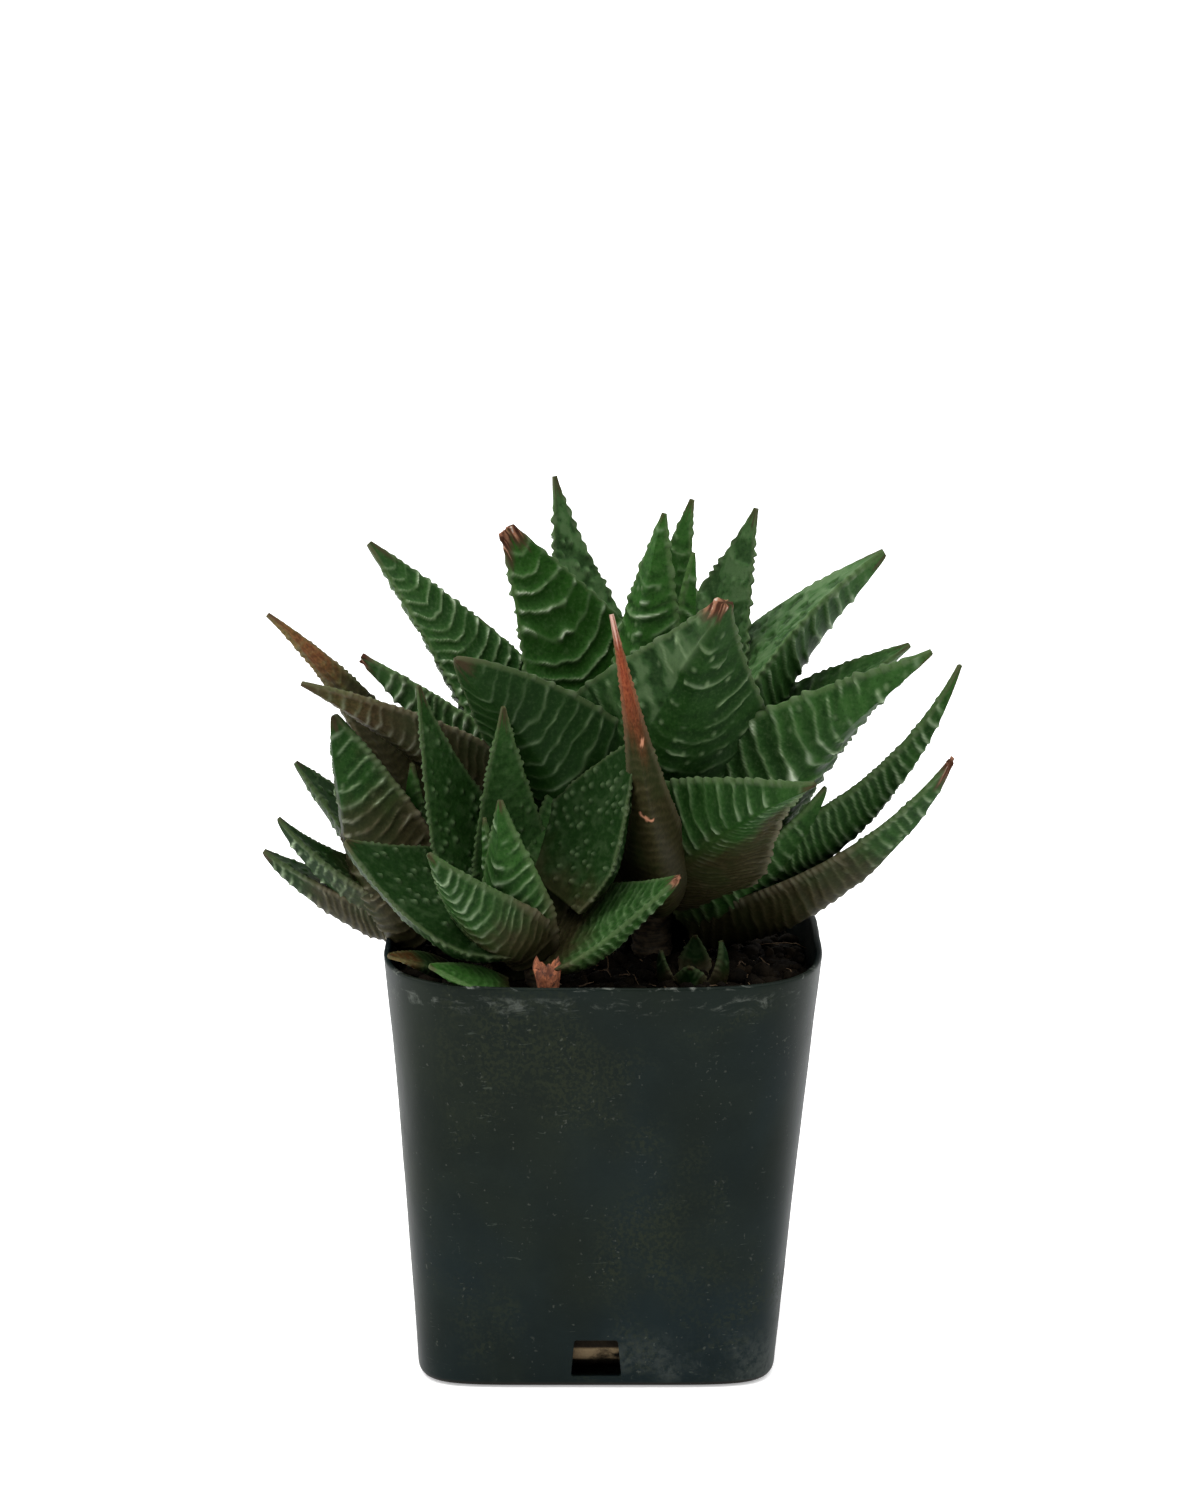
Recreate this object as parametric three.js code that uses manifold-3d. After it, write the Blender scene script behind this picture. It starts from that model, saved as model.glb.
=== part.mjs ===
// A haworthia clump in a square nursery pot: one tall rosette, two offsets beside it, and young leaves at the rim.
// Millimetres, +Z up, origin at the middle of the pot's underside. The drain slot seen first faces -Y.

import * as THREE from 'three';
import { mergeVertices } from 'three/addons/utils/BufferGeometryUtils.js';
import Module from 'manifold-3d';

const wasm = await Module();
wasm.setup();

// ---------------------------------------------------------------- driving dimensions

const POT_HEIGHT = 70;
const POT_TOP_HALF = 36.7; // half of the width across the rim
const POT_BASE_HALF = 30; // half of the width at the underside
const POT_WAIST = 0.35; // the walls are drawn in by this much at half height
const POT_WALL = 1.0;
const POT_FLOOR = 1.0;
const POT_TOP_SQUARENESS = 3.8; // exponent of the rounded square at the rim
const POT_BASE_SQUARENESS = 7; // the corners are tighter at the foot
const POT_LEAN = 1.2; // the rim sits this far to the right of the foot
const POT_FOOT_ROUND = 1.2; // small round between wall and underside
const POT_SIDES = 40; // points round the rounded square

const SLOT_FOOT_WIDTH = 8.3; // drain slot, one low in the middle of each wall
const SLOT_HEAD_WIDTH = 7.3;
const SLOT_FOOT_HEIGHT = 1.8;
const SLOT_HEAD_HEIGHT = 8.3;
const SLOT_REACH = 4; // how far past the wall the slot's cutter goes on each side

const GAP = 0.3; // kept between pieces that touch

const SOIL_TOP = 64.5;
const SOIL_FOOT = POT_FLOOR + GAP;
const SOIL_CHAMFER = 5.5; // the root ball is rounded off at its foot
const SOIL_BUMP = 1.1; // height of the lumps on the surface
const SOIL_RINGS = 3;

const LEAF_EDGE = 0.6; // thickness at a leaf's margin
const LEAF_TIP = 0.7; // width of a sharp tip
const LEAF_PITCH = 3.7; // distance between rings; every second ring is a raised ridge
const RIDGE_HEIGHT = 0.45;
const TOOTH = 0.4; // how far a ridge stands out of the margin
const LEAF_CUP = 0.1; // hollow of the upper face, as a share of the half width
const LEAF_BASE_OUT = 2.5; // the topmost leaf starts this far from the middle of its stem
const LEAF_BASE_SPREAD = 0.12; // and each lower one further out, by this share of its drop
const CUTTER_RINGS = 8;
const CUTTER_CLEAR = 0.95; // a cutter stands this far off its leaf, past the ridges

const STEM_SIDES = 10;
const STUB_FOOT = [-7.5, -31, 61];
const STUB_HEAD = [-8, -32, 72.6];
const STUB_RADIUS = 1.7;
const STUB_RINGS = 4;

// ---------------------------------------------------------------- solids

function solidFromArrays(positions, triangles) {
  const mesh = new wasm.Mesh({
    numProp: 3,
    vertProperties: new Float32Array(positions),
    triVerts: new Uint32Array(triangles),
  });
  return new wasm.Manifold(mesh);
}

function solidFromGeometry(geometry) {
  const bare = geometry.clone();
  bare.deleteAttribute('normal');
  bare.deleteAttribute('uv');
  const merged = mergeVertices(bare, 1e-4);
  return solidFromArrays(merged.attributes.position.array, merged.index.array);
}

function meshFromSolid(name, solid, material) {
  const found = solid.getMesh();
  const geometry = new THREE.BufferGeometry();
  geometry.setAttribute('position', new THREE.BufferAttribute(new Float32Array(found.vertProperties), 3));
  geometry.setIndex(Array.from(found.triVerts));
  geometry.computeVertexNormals();
  const mesh = new THREE.Mesh(geometry, material);
  mesh.name = name;
  return mesh;
}

// The largest body of a cut solid; cutting can leave loose crumbs beside it.
function largestBody(solid) {
  const bodies = solid.decompose();
  return bodies.reduce((best, body) => (body.volume() > best.volume() ? body : best));
}

// Closes a stack of rings with equal point counts into a solid, with a fan at each end.
function solidFromRings(rings) {
  const count = rings[0].length;
  const positions = rings.flat().flatMap((point) => [point.x, point.y, point.z]);
  const triangles = [];
  for (let ring = 0; ring < rings.length - 1; ring += 1) {
    for (let i = 0; i < count; i += 1) {
      const a = ring * count + i;
      const b = ring * count + ((i + 1) % count);
      triangles.push(a, b, b + count, a, b + count, a + count);
    }
  }
  for (const [ring, turn] of [[0, -1], [rings.length - 1, 1]]) {
    const middle = new THREE.Vector3();
    rings[ring].forEach((point) => middle.addScaledVector(point, 1 / count));
    const centre = positions.length / 3;
    positions.push(middle.x, middle.y, middle.z);
    for (let i = 0; i < count; i += 1) {
      const a = ring * count + i;
      const b = ring * count + ((i + 1) % count);
      triangles.push(centre, turn > 0 ? a : b, turn > 0 ? b : a);
    }
  }
  return solidFromArrays(positions, triangles);
}

// ---------------------------------------------------------------- pot

// A point of the rounded square at an angle, for a half width and a squareness.
function roundedSquare(angle, half, squareness, height, shift) {
  const power = 2 / squareness;
  const x = half * Math.sign(Math.cos(angle)) * Math.abs(Math.cos(angle)) ** power;
  const y = half * Math.sign(Math.sin(angle)) * Math.abs(Math.sin(angle)) ** power;
  return new THREE.Vector3(x + shift, y, height);
}

// A ring of the pot's taper at a height, drawn in by an inset.
function potRing(height, inset) {
  const share = height / POT_HEIGHT;
  const waist = POT_WAIST * 4 * share * (1 - share);
  const half = THREE.MathUtils.lerp(POT_BASE_HALF, POT_TOP_HALF, share) - waist - inset;
  const squareness = THREE.MathUtils.lerp(POT_BASE_SQUARENESS, POT_TOP_SQUARENESS, share);
  const ring = [];
  for (let i = 0; i < POT_SIDES; i += 1) {
    const angle = ((i + 0.5) / POT_SIDES) * Math.PI * 2;
    ring.push(roundedSquare(angle, half, squareness, height, POT_LEAN * share));
  }
  return ring;
}

// A tapered slot cutter that runs out through the wall on the side at this turn.
function slotCutter(turn) {
  const outline = new THREE.Shape();
  outline.moveTo(-SLOT_FOOT_WIDTH / 2, SLOT_FOOT_HEIGHT);
  outline.lineTo(SLOT_FOOT_WIDTH / 2, SLOT_FOOT_HEIGHT);
  outline.lineTo(SLOT_HEAD_WIDTH / 2, SLOT_HEAD_HEIGHT);
  outline.lineTo(-SLOT_HEAD_WIDTH / 2, SLOT_HEAD_HEIGHT);
  outline.closePath();
  const geometry = new THREE.ExtrudeGeometry(outline, { depth: SLOT_REACH * 2, bevelEnabled: false });
  geometry.rotateX(Math.PI / 2);
  geometry.translate(0, SLOT_REACH - POT_BASE_HALF, 0);
  geometry.rotateZ(turn);
  return solidFromGeometry(geometry);
}

function buildPot() {
  const outer = solidFromRings([
    potRing(0, POT_FOOT_ROUND),
    potRing(POT_FOOT_ROUND * 0.3, POT_FOOT_ROUND * 0.3),
    potRing(POT_FOOT_ROUND, 0),
    potRing(POT_HEIGHT * 0.5, 0),
    potRing(POT_HEIGHT, 0),
  ]);
  const inner = solidFromRings([
    potRing(POT_FLOOR, POT_WALL),
    potRing(POT_HEIGHT * 0.5, POT_WALL),
    potRing(POT_HEIGHT + 1, POT_WALL),
  ]);
  let pot = outer.subtract(inner);
  for (let side = 0; side < 4; side += 1) {
    pot = pot.subtract(slotCutter((side * Math.PI) / 2));
  }
  return pot;
}

// The top of the wall, grown by the gap, which the low leaves are cut back to.
function buildRimCutter() {
  const foot = SOIL_TOP - SOIL_BUMP;
  const outer = solidFromRings([potRing(foot, -GAP), potRing(POT_HEIGHT + GAP, -GAP)]);
  const inset = POT_WALL + GAP;
  return outer.subtract(solidFromRings([potRing(foot - 1, inset), potRing(POT_HEIGHT + 1, inset)]));
}

// ---------------------------------------------------------------- leaves

// Every leaf is a thick keeled blade. Its row says where it leaves the stem (at, facing, rise), where its tip is,
// and how it is shaped: width and keel depth, roll about its own length, taper of the sides, the height of its
// widest place (belly), and the width of a tip that dried back (blunt).
const rosettes = {
  main: { x: 9.5, y: 7, foot: 52, top: 99, crown: 100, radius: 3.2 },
  left: { x: -25, y: 4, foot: 54, top: 74, crown: 76, radius: 2.2 },
  front: { x: -9.5, y: -19, foot: 54, top: 72, crown: 74, radius: 2.2 },
};
// A seedling-sized offset that just breaks the soil.
const babyPlace = { x: 16, y: -13.5, foot: 60, top: 67, crown: 65, radius: 1.8 };
const BABY_TIPS = [[11, -14.5, 71], [15.5, -19.5, 69.5], [20.5, -14.5, 72.5], [16.5, -9, 72]];
const babyLeaf = { at: 65, rise: 45, width: 5, keel: 2.4, roll: 0, taper: 1 };

// Youngest first: each leaf is cut clear of those above it in this list, as the older ones clasp the younger.
const leafRows = [
  {
    name: 'main_leaf_heart', at: 104.5, facing: -12, rise: 87, tip: [16, 3, 135],
    width: 8, keel: 4.5, roll: -3, taper: 1,
  },
  {
    name: 'main_leaf_upright_front', at: 100, facing: -114, rise: 87, tip: [11.5, 4, 141.5],
    width: 13, keel: 5.5, roll: 0, taper: 0.95,
  },
  {
    name: 'main_leaf_upright_back', at: 101, facing: 62, rise: 89, tip: [16, 9, 143],
    width: 12, keel: 5, roll: -1, taper: 1.05,
  },
  {
    name: 'main_leaf_high_back_right', at: 95.5, facing: 52, rise: 56, tip: [27, 18, 140],
    width: 21, keel: 6.5, roll: -1, taper: 1.1,
  },
  {
    name: 'main_leaf_broad_back_left', at: 92, facing: 137, rise: 62, tip: [-15, 12, 137.5],
    width: 29.5, keel: 9, roll: -19, taper: 1, blunt: 4.5, reach: 0.4,
  },
  {
    name: 'main_leaf_broad_front', at: 94, facing: -73, rise: 59, tip: [21, -22.5, 131.5],
    width: 37.5, keel: 11, roll: -21, taper: 1.15, blunt: 4.5, reach: 0.4,
  },
  {
    name: 'main_leaf_high_back', at: 91.5, facing: 123, rise: 53, tip: [-7, 28, 144],
    width: 21.5, keel: 8, roll: -1, taper: 1.25,
  },
  {
    name: 'main_leaf_high_right', at: 94, facing: 21, rise: 65, tip: [48.5, 15, 133.5],
    width: 25.5, keel: 11, roll: -5, taper: 1,
  },
  {
    name: 'main_leaf_rear_high', at: 84, facing: 82, rise: 58, tip: [14, 46, 130],
    width: 24, keel: 9, roll: 0, taper: 1,
  },
  {
    name: 'main_leaf_high_left', at: 77, facing: 159, rise: 58, tip: [-38.5, 19.5, 134],
    width: 25.5, keel: 9, roll: -19, taper: 0.9,
  },
  {
    name: 'main_leaf_front_left', at: 81, facing: -139, rise: 61, tip: [-23, -19.5, 121.5],
    width: 27.5, keel: 9, roll: 36, taper: 0.75,
  },
  {
    name: 'main_leaf_right_front', at: 83, facing: -33, rise: 48, tip: [55.5, -8, 120.5],
    width: 26, keel: 8.5, roll: -36, taper: 1.15,
  },
  {
    name: 'main_leaf_right_back', at: 86.5, facing: 19, rise: 47, tip: [52.5, 5.5, 119],
    width: 19.5, keel: 7, roll: 13, taper: 1,
  },
  {
    name: 'main_leaf_rear_right', at: 80, facing: 52, rise: 42, tip: [33, 45, 112],
    width: 23, keel: 9, roll: 0, taper: 1,
  },
  {
    name: 'main_leaf_rear_left', at: 78, facing: 125, rise: 42, tip: [-21, 47, 116],
    width: 23, keel: 9, roll: 0, taper: 1,
  },
  {
    name: 'main_leaf_left_back', at: 78, facing: -173, rise: 50, tip: [-39.5, 12, 115.5],
    width: 19, keel: 7.5, roll: 23, taper: 0.95, blunt: 2.5,
  },
  {
    name: 'main_leaf_left_long', at: 73, facing: -163, rise: 53, tip: [-49, -5, 114.5],
    width: 21.5, keel: 5, roll: 37, taper: 0.9, tone: 'brown',
  },
  {
    name: 'main_leaf_front_red', at: 80, facing: -85, rise: 8, tip: [2.5, -27, 130],
    width: 12.5, keel: 8, roll: 0, taper: 1.3, belly: 0.22, reach: 0.43, tone: 'red',
  },
  {
    name: 'main_leaf_front_right', at: 79.5, facing: -66, rise: 42, tip: [35.5, -33.5, 103.5],
    width: 25.5, keel: 7, roll: -39, taper: 1.25, tone: 'brown',
  },
  {
    name: 'main_leaf_right_small', at: 74, facing: -20, rise: 30, tip: [38, -6, 97],
    width: 14, keel: 6, roll: 0, taper: 1,
  },
  {
    name: 'main_leaf_right_long', at: 79, facing: -9, rise: 7, tip: [60, -10, 118.5],
    width: 16, keel: 5.5, roll: -31, taper: 1.3,
  },
  {
    name: 'main_leaf_right_low', at: 71.5, facing: -3, rise: 14, tip: [58, -18, 104],
    width: 16.5, keel: 7, roll: -12, taper: 1.1, blunt: 2, tone: 'brown',
  },
  {
    name: 'main_leaf_rear_low', at: 72, facing: 88, rise: 32, tip: [11, 56, 101],
    width: 20, keel: 8, roll: 0, taper: 1,
  },
  {
    name: 'main_leaf_rear_low_right', at: 72, facing: 38, rise: 24, tip: [40, 40, 95],
    width: 17, keel: 7, roll: 0, taper: 1,
  },
  {
    name: 'main_leaf_rear_low_left', at: 72, facing: 138, rise: 32, tip: [-29, 38, 99],
    width: 17, keel: 7, roll: 0, taper: 1,
  },
  {
    name: 'main_leaf_rear_foot', at: 70, facing: 68, rise: 24, tip: [27, 50, 92],
    width: 15, keel: 6, roll: 0, taper: 1,
  },
  {
    name: 'left_leaf_heart', at: 74, facing: -150, rise: 78, tip: [-30.5, -4, 100.5],
    width: 9, keel: 4.5, roll: 0, taper: 1,
  },
  {
    name: 'left_leaf_broad', at: 72, facing: -155, rise: 60, tip: [-43.5, -2, 108.5],
    width: 21, keel: 9.5, roll: 21, taper: 0.8, belly: 0.35, tone: 'brown',
  },
  {
    name: 'left_leaf_red_tip', at: 79.5, facing: 149, rise: 75, tip: [-55.5, 12, 123],
    width: 13, keel: 4, roll: -4, taper: 1, tone: 'red',
  },
  {
    name: 'left_leaf_rear_right', at: 71, facing: 60, rise: 55, tip: [-17, 20, 100],
    width: 12, keel: 5.5, roll: 0, taper: 1,
  },
  {
    name: 'left_leaf_back', at: 74, facing: 152, rise: 41, tip: [-51, 11.5, 97.5],
    width: 14.5, keel: 6, roll: -2, taper: 0.95,
  },
  {
    name: 'left_leaf_rear', at: 71, facing: 112, rise: 36, tip: [-36, 36, 96],
    width: 15, keel: 6, roll: 0, taper: 1,
  },
  {
    name: 'left_leaf_side', at: 75.5, facing: -171, rise: 9, tip: [-53, -3, 91],
    width: 16.5, keel: 5.5, roll: -7, taper: 1.05,
  },
  {
    name: 'left_leaf_low', at: 73, facing: 176, rise: 8, tip: [-56, 3.5, 84],
    width: 14, keel: 6.5, roll: 0, taper: 0.95, tone: 'brown',
  },
  {
    name: 'front_leaf_heart', at: 72.5, facing: -119, rise: 60, tip: [-15.5, -28, 99.5],
    width: 12.5, keel: 5.5, roll: 3, taper: 1,
  },
  {
    name: 'front_leaf_sliver', at: 72, facing: 180, rise: 75, tip: [-18, -24, 95.5],
    width: 7, keel: 4, roll: 0, taper: 1,
  },
  {
    name: 'front_leaf_upright', at: 66, facing: 119, rise: 67, tip: [-15, -22.5, 113.5],
    width: 15.5, keel: 6, roll: -4, taper: 1.05,
  },
  {
    name: 'front_leaf_shaded', at: 74, facing: 80, rise: 72, tip: [-3.5, -9, 105],
    width: 8.5, keel: 4.5, roll: 0, taper: 1,
  },
  {
    name: 'front_leaf_back_left', at: 70.5, facing: 145, rise: 52, tip: [-29, -16.5, 116],
    width: 18.5, keel: 6.5, roll: -15, taper: 1.25,
  },
  {
    name: 'front_leaf_back_right', at: 81.5, facing: 10, rise: 60, tip: [6.5, -22.5, 108.5],
    width: 21, keel: 7, roll: 27, taper: 1,
  },
  {
    name: 'front_leaf_left', at: 78, facing: -171, rise: 9, tip: [-41, -22.5, 91.5],
    width: 24, keel: 9, roll: -33, taper: 0.9,
  },
  {
    name: 'front_leaf_front', at: 74.5, facing: -126, rise: 24, tip: [-27, -36, 92.5],
    width: 14.5, keel: 5.5, roll: 18, taper: 1,
  },
  {
    name: 'front_leaf_right', at: 73.5, facing: -40, rise: 24, tip: [13.5, -32.5, 88],
    width: 19.5, keel: 5.5, roll: 34, taper: 1,
  },
  {
    name: 'rim_leaf_green', from: [-14, -29.5, 68], facing: 197, rise: 22, tip: [-27, -34, 73.3],
    width: 8, keel: 3.5, roll: -20, taper: 0.8, reach: 0.4,
  },
  {
    name: 'rim_leaf_red', from: [-24, -20.5, 69.5], facing: 205, rise: 25, tip: [-34, -26, 73],
    width: 5.5, keel: 2.5, roll: -15, taper: 0.8, tone: 'red', reach: 0.4,
  },
];

// The middle line of a leaf: it leaves the stem along facing and rise, then bends to its tip.
function leafSpine(leaf, along) {
  const { base, tip } = leaf;
  const facing = THREE.MathUtils.degToRad(leaf.facing);
  const rise = THREE.MathUtils.degToRad(leaf.rise);
  const start = new THREE.Vector3(
    Math.cos(facing) * Math.cos(rise),
    Math.sin(facing) * Math.cos(rise),
    Math.sin(rise),
  );
  const bend = base.clone().addScaledVector(start, leaf.chord * leaf.reach);
  const point = base.clone().multiplyScalar((1 - along) ** 2);
  point.addScaledVector(bend, 2 * along * (1 - along)).addScaledVector(tip, along ** 2);
  const tangent = bend.clone().sub(base).multiplyScalar(2 * (1 - along));
  tangent.addScaledVector(tip, 2 * along).addScaledVector(bend, -2 * along).normalize();
  const level = new THREE.Vector3(-Math.sin(facing), Math.cos(facing), 0);
  const upper = tangent.clone().cross(level).normalize();
  const side = upper.clone().cross(tangent);
  const roll = THREE.MathUtils.degToRad(leaf.roll);
  return {
    point,
    side: side.clone().multiplyScalar(Math.cos(roll)).addScaledVector(upper, Math.sin(roll)),
    upper: upper.clone().multiplyScalar(Math.cos(roll)).addScaledVector(side, -Math.sin(roll)),
  };
}

function leafHalfWidth(leaf, along) {
  const half = leaf.width / 2;
  if (along < leaf.belly) {
    return half * (0.8 + 0.2 * Math.sin((along / leaf.belly) * Math.PI * 0.5));
  }
  const run = (along - leaf.belly) / (1 - leaf.belly);
  const tipShare = leaf.blunt / leaf.width;
  const side = (1 - run) ** leaf.taper * (1 + 0.56 * run * (1 - run));
  return half * (side * (1 - tipShare) + tipShare);
}

function leafDepth(leaf, along) {
  const thick = 0.3;
  if (along < thick) {
    return leaf.keel * (0.85 + 0.15 * Math.sin((along / thick) * Math.PI * 0.5));
  }
  const run = (along - thick) / (1 - thick);
  return Math.max(leaf.keel * ((1 - run) ** 0.75 * 0.88 + 0.12), LEAF_EDGE);
}

// One ring of a leaf: the upper face from margin to margin, then the keeled under face back again.
// raise lifts both faces (a ridge, or the clearance of a cutter) and spread widens the margins.
function leafRing(leaf, along, raise, spread, acrossUpper, acrossUnder) {
  const keelPower = 2.3 - 1.15 * THREE.MathUtils.clamp((along - 0.15) / 0.6, 0, 1);
  const depth = leafDepth(leaf, along);
  const flat = leafHalfWidth(leaf, along);
  const ring = [];
  for (const [face, steps] of [[1, acrossUpper], [-1, acrossUnder]]) {
    for (const across of steps) {
      const sweep = leaf.sweep * across * across * THREE.MathUtils.clamp(along * 4, 0, 1) * (1 - along);
      const { point, side, upper } = leafSpine(leaf, along + sweep);
      const hollow = LEAF_CUP * flat * across * across;
      const belly = LEAF_EDGE + (depth - LEAF_EDGE) * (1 - Math.abs(across) ** keelPower);
      const height = face > 0 ? hollow + raise : hollow - belly - raise;
      ring.push(point.addScaledVector(side, across * (flat + spread)).addScaledVector(upper, height));
    }
  }
  return ring;
}

function prepareLeaf(row) {
  const facing = THREE.MathUtils.degToRad(row.facing);
  const stem = rosettes[row.name.split('_')[0]] ?? babyPlace;
  const outward = new THREE.Vector3(Math.cos(facing), Math.sin(facing), 0);
  const out = LEAF_BASE_OUT + LEAF_BASE_SPREAD * Math.max(stem.crown - row.at, 0);
  const base = row.from
    ? new THREE.Vector3(...row.from)
    : new THREE.Vector3(stem.x, stem.y, row.at).addScaledVector(outward, out);
  const tip = new THREE.Vector3(...row.tip);
  const chord = base.distanceTo(tip);
  const sweep = (0.5 * LEAF_PITCH) / chord;
  return { tone: 'green', belly: 0.28, blunt: LEAF_TIP, reach: 0.5, ...row, base, tip, chord, sweep };
}

// The ridged leaf itself. Rings alternate between valley and crest, and each crest also makes a tooth on the margin.
function buildLeaf(leaf) {
  const count = 2 * Math.max(4, Math.round(leaf.chord / LEAF_PITCH / 2)) + 1;
  const under = leaf.width > 12 ? [-1, -0.5, 0, 0.5, 1] : [-1, 0, 1];
  const rings = [];
  for (let i = 0; i < count; i += 1) {
    const along = i / (count - 1);
    const crest = i % 2 === 1 ? Math.min(1, (1 - along) * 4) : 0;
    rings.push(leafRing(leaf, along, RIDGE_HEIGHT * crest, TOOTH * crest, [1, 0, -1], under));
  }
  return solidFromRings(rings);
}

// A smooth, slightly larger copy of the leaf, which the older leaves and the soil are cut back to.
function buildLeafCutter(leaf) {
  const rings = [];
  for (let i = 0; i < CUTTER_RINGS; i += 1) {
    const along = i / (CUTTER_RINGS - 1);
    rings.push(leafRing(leaf, along, CUTTER_CLEAR, CUTTER_CLEAR, [1, -1], [-1, -0.5, 0, 0.5, 1]));
  }
  return solidFromRings(rings);
}

// ---------------------------------------------------------------- stems, stub and soil

function buildStem(rosette, spread) {
  const radius = rosette.radius + spread;
  const top = rosette.top + spread;
  const profile = [
    new THREE.Vector2(0, rosette.foot - spread),
    new THREE.Vector2(radius * 0.8, rosette.foot - spread),
    new THREE.Vector2(radius, rosette.foot + 4),
    new THREE.Vector2(radius, top - 4),
    new THREE.Vector2(radius * 0.6, top),
    new THREE.Vector2(0, top),
  ];
  const geometry = new THREE.LatheGeometry(profile, STEM_SIDES);
  geometry.rotateX(Math.PI / 2);
  geometry.translate(rosette.x, rosette.y, 0);
  return solidFromGeometry(geometry);
}

// The cut end of a flower stalk, flared and torn at the top.
function buildStub(spread) {
  const foot = new THREE.Vector3(...STUB_FOOT);
  const head = new THREE.Vector3(...STUB_HEAD);
  const rings = [];
  for (let i = 0; i < STUB_RINGS; i += 1) {
    const along = i / (STUB_RINGS - 1);
    const middle = foot.clone().lerp(head, along);
    const radius = STUB_RADIUS * (0.8 + 0.5 * along * along) + spread;
    const ring = [];
    for (let k = 0; k < STEM_SIDES; k += 1) {
      const angle = (k / STEM_SIDES) * Math.PI * 2;
      const tear = along === 1 ? 0.9 * Math.sin(angle * 3) : 0;
      const point = new THREE.Vector3(Math.cos(angle) * radius, Math.sin(angle) * radius, tear);
      ring.push(point.add(middle));
    }
    rings.push(ring);
  }
  return solidFromRings(rings);
}

// Lumps on the soil surface, worked out from the place alone.
function soilLump(x, y) {
  const broad = Math.sin(x * 0.21 + 1.3) * Math.cos(y * 0.17 - 0.4);
  const fine = Math.sin(x * 0.63 - y * 0.38) * Math.cos(y * 0.71 + x * 0.22);
  return SOIL_BUMP * (0.6 * broad + 0.4 * fine);
}

function buildSoil() {
  const rings = [
    potRing(SOIL_FOOT, POT_WALL + GAP + SOIL_CHAMFER),
    potRing(SOIL_FOOT + SOIL_CHAMFER * 0.3, POT_WALL + GAP + SOIL_CHAMFER * 0.3),
    potRing(SOIL_FOOT + SOIL_CHAMFER, POT_WALL + GAP),
    potRing(SOIL_TOP - 2, POT_WALL + GAP),
  ];
  const rim = potRing(SOIL_TOP, POT_WALL + GAP);
  const middle = new THREE.Vector3(POT_LEAN, 0, SOIL_TOP);
  for (let i = 0; i < SOIL_RINGS; i += 1) {
    const share = 1 - i / SOIL_RINGS;
    rings.push(rim.map((point) => {
      const place = middle.clone().lerp(point, share);
      const sink = share > 0.97 ? 0.5 : 0;
      return new THREE.Vector3(place.x, place.y, SOIL_TOP + soilLump(place.x, place.y) - sink);
    }));
  }
  return solidFromRings(rings);
}

// ---------------------------------------------------------------- assembly

function boxesMeet(one, other) {
  const a = one.boundingBox();
  const b = other.boundingBox();
  return [0, 1, 2].every((axis) => a.min[axis] < b.max[axis] && b.min[axis] < a.max[axis]);
}

function cutClear(solid, cutters) {
  const near = cutters.filter((cutter) => boxesMeet(solid, cutter));
  const cut = near.reduce((left, cutter) => left.subtract(cutter), solid);
  return near.length > 0 ? largestBody(cut) : solid;
}

function finish(colour, roughness) {
  return new THREE.MeshStandardMaterial({ color: colour, roughness, metalness: 0 });
}

const LEAF_COLOURS = { green: 0x2f5a34, brown: 0x4a4330, red: 0x7a4634 };
const part = new THREE.Group();
const cutters = [buildRimCutter()];

part.add(meshFromSolid('pot', buildPot(), finish(0x232b2c, 0.55)));

for (const [name, rosette] of Object.entries(rosettes)) {
  part.add(meshFromSolid(`${name}_stem`, buildStem(rosette, 0), finish(0x5c5138, 0.8)));
  cutters.push(buildStem(rosette, GAP));
}

for (const row of leafRows) {
  const leaf = prepareLeaf(row);
  const solid = cutClear(buildLeaf(leaf), cutters);
  cutters.push(buildLeafCutter(leaf));
  part.add(meshFromSolid(leaf.name, solid, finish(LEAF_COLOURS[leaf.tone], 0.5)));
}

const babies = BABY_TIPS.map((tip, index) => prepareLeaf({
  ...babyLeaf,
  name: `baby_leaf_${index}`,
  facing: THREE.MathUtils.radToDeg(Math.atan2(tip[1] - babyPlace.y, tip[0] - babyPlace.x)),
  tip,
}));
const babySolid = babies.map(buildLeaf).reduce((sum, solid) => sum.add(solid), buildStem(babyPlace, 0));
part.add(meshFromSolid('baby_rosette', cutClear(babySolid, cutters), finish(LEAF_COLOURS.green, 0.5)));
cutters.push(buildStem(babyPlace, GAP), ...babies.map(buildLeafCutter));

part.add(meshFromSolid('old_flower_stalk', cutClear(buildStub(0), cutters), finish(0x96502f, 0.85)));
cutters.push(buildStub(GAP));

part.add(meshFromSolid('potting_mix', cutClear(buildSoil(), cutters), finish(0x1f1813, 0.95)));

export default part;
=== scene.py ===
# %% [markdown]
# # A haworthia clump in a square nursery pot
#
# This lesson dresses a plain solid model of a small potted succulent: three rosettes of thick, keeled
# leaves with pale ridges, young leaves at the rim, dark potting mix and a thin plastic pot. The solid
# model is loaded as a fixed frame, and every solid is replaced here by a finer surface that keeps its
# form. Lengths in the tables are in millimetres, as a maker would measure them, and are turned into metres
# where a mesh is made.

# %% Load the frame
import math
from dataclasses import dataclass

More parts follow.
